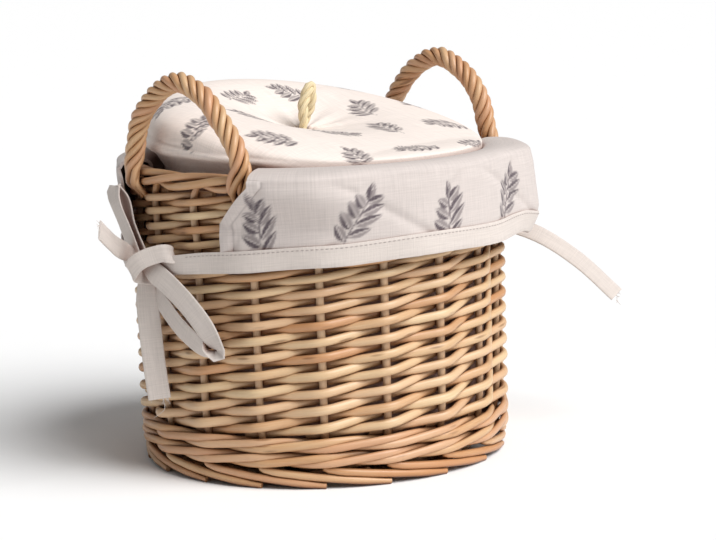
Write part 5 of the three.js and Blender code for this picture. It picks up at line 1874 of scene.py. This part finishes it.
class BASKET_OT_stage(bpy.types.Operator):
    """Adds the floor, the lights and the camera"""

    bl_idname = "basket.stage"
    bl_label = "Stage"

    def execute(self, context):
        scene = context.scene
        scene.view_settings.view_transform = "Standard"
        self.floor(scene)
        for name, place, spread, power in LIGHTS:
            self.light(scene, name, place, spread, power)
        world = bpy.data.worlds.new("studio")
        world.use_nodes = True
        background = world.node_tree.nodes["Background"]
        background.inputs["Color"].default_value = (1, 1, 1, 1)
        background.inputs["Strength"].default_value = WORLD_LIGHT
        scene.world = world
        self.camera(scene)
        return {"FINISHED"}

    def floor(self, scene):
        """A plain floor that reaches past the picture."""
        mesh = bpy.data.meshes.new("studio_floor")
        corners = [(-1, -1), (1, -1), (1, 1), (-1, 1)]
        points = [(FLOOR_HALF * x, FLOOR_HALF * y, 0) for x, y in corners]
        mesh.from_pydata(points, [], [(0, 1, 2, 3)])
        pale = scene.basket_colours.floor
        mesh.materials.append(made("studio_floor_painted", floor_material, pale))
        floor = bpy.data.objects.new("studio_floor", mesh)
        scene.collection.objects.link(floor)

    def light(self, scene, name, place, spread, power):
        """An even light from a far soft box, as wide as the given angle in degrees."""
        lamp = bpy.data.lights.new(name, "SUN")
        lamp.angle = math.radians(spread)
        lamp.energy = power
        obj = bpy.data.objects.new(name, lamp)
        obj.location = place
        obj.rotation_euler = Vector(place).to_track_quat("Z", "Y").to_euler()
        scene.collection.objects.link(obj)

    def camera(self, scene):
        """A long lens, from front left and a little above the rim."""
        data = bpy.data.cameras.new("camera")
        data.lens = CAMERA_LENS
        data.clip_end = CAMERA_SIGHT
        camera = bpy.data.objects.new("camera", data)
        place = Vector(CAMERA_PLACE)
        turn = (Vector(CAMERA_TARGET) - place).to_track_quat("-Z", "Y").to_matrix().to_4x4()
        roll = Matrix.Rotation(math.radians(CAMERA_ROLL), 4, "Z")
        camera.matrix_world = Matrix.Translation(place) @ turn @ roll
        scene.collection.objects.link(camera)
        scene.camera = camera


class BASKET_PT_panel(bpy.types.Panel):
    """Lists the pieces of the basket with their sizes and colours"""

    bl_idname = "BASKET_PT_panel"
    bl_label = "Potato basket"
    bl_space_type = "VIEW_3D"
    bl_region_type = "UI"
    bl_category = "Basket"

    def draw(self, context):
        for operator in OPERATORS:
            self.layout.operator(operator.bl_idname)
        for key in PROPERTIES:
            group = getattr(context.scene, key)
            box = self.layout.box()
            for name in group.__annotations__:
                box.prop(group, name)


OPERATORS = (
    BASKET_OT_stage,
    BASKET_OT_stakes,
    BASKET_OT_wale,
    BASKET_OT_weavers,
    BASKET_OT_base,
    BASKET_OT_handles,
    BASKET_OT_liner,
    BASKET_OT_binding,
    BASKET_OT_bows,
    BASKET_OT_lid,
    BASKET_OT_pull,
)
PROPERTIES = {
    "basket_wicker": WickerSizes,
    "basket_liner": LinerSizes,
    "basket_lid": LidSizes,
    "basket_colours": BasketColours,
}


def register():
    """Registers the sizes, the operators and the panel."""
    for cls in (*PROPERTIES.values(), *OPERATORS, BASKET_PT_panel):
        bpy.utils.register_class(cls)
    for key, cls in PROPERTIES.items():
        setattr(bpy.types.Scene, key, PointerProperty(type=cls))


def unregister():
    """Takes away what register added."""
    for key in PROPERTIES:
        delattr(bpy.types.Scene, key)
    for cls in reversed((*PROPERTIES.values(), *OPERATORS, BASKET_PT_panel)):
        bpy.utils.unregister_class(cls)


def main():
    """Builds every piece in order."""
    register()
    bpy.ops.basket.stage()
    bpy.ops.basket.stakes()
    bpy.ops.basket.wale()
    bpy.ops.basket.weavers()
    bpy.ops.basket.base()
    bpy.ops.basket.handles()
    bpy.ops.basket.liner()
    bpy.ops.basket.binding()
    bpy.ops.basket.bows()
    bpy.ops.basket.lid()
    bpy.ops.basket.pull()


if __name__ == "__main__":
    main()
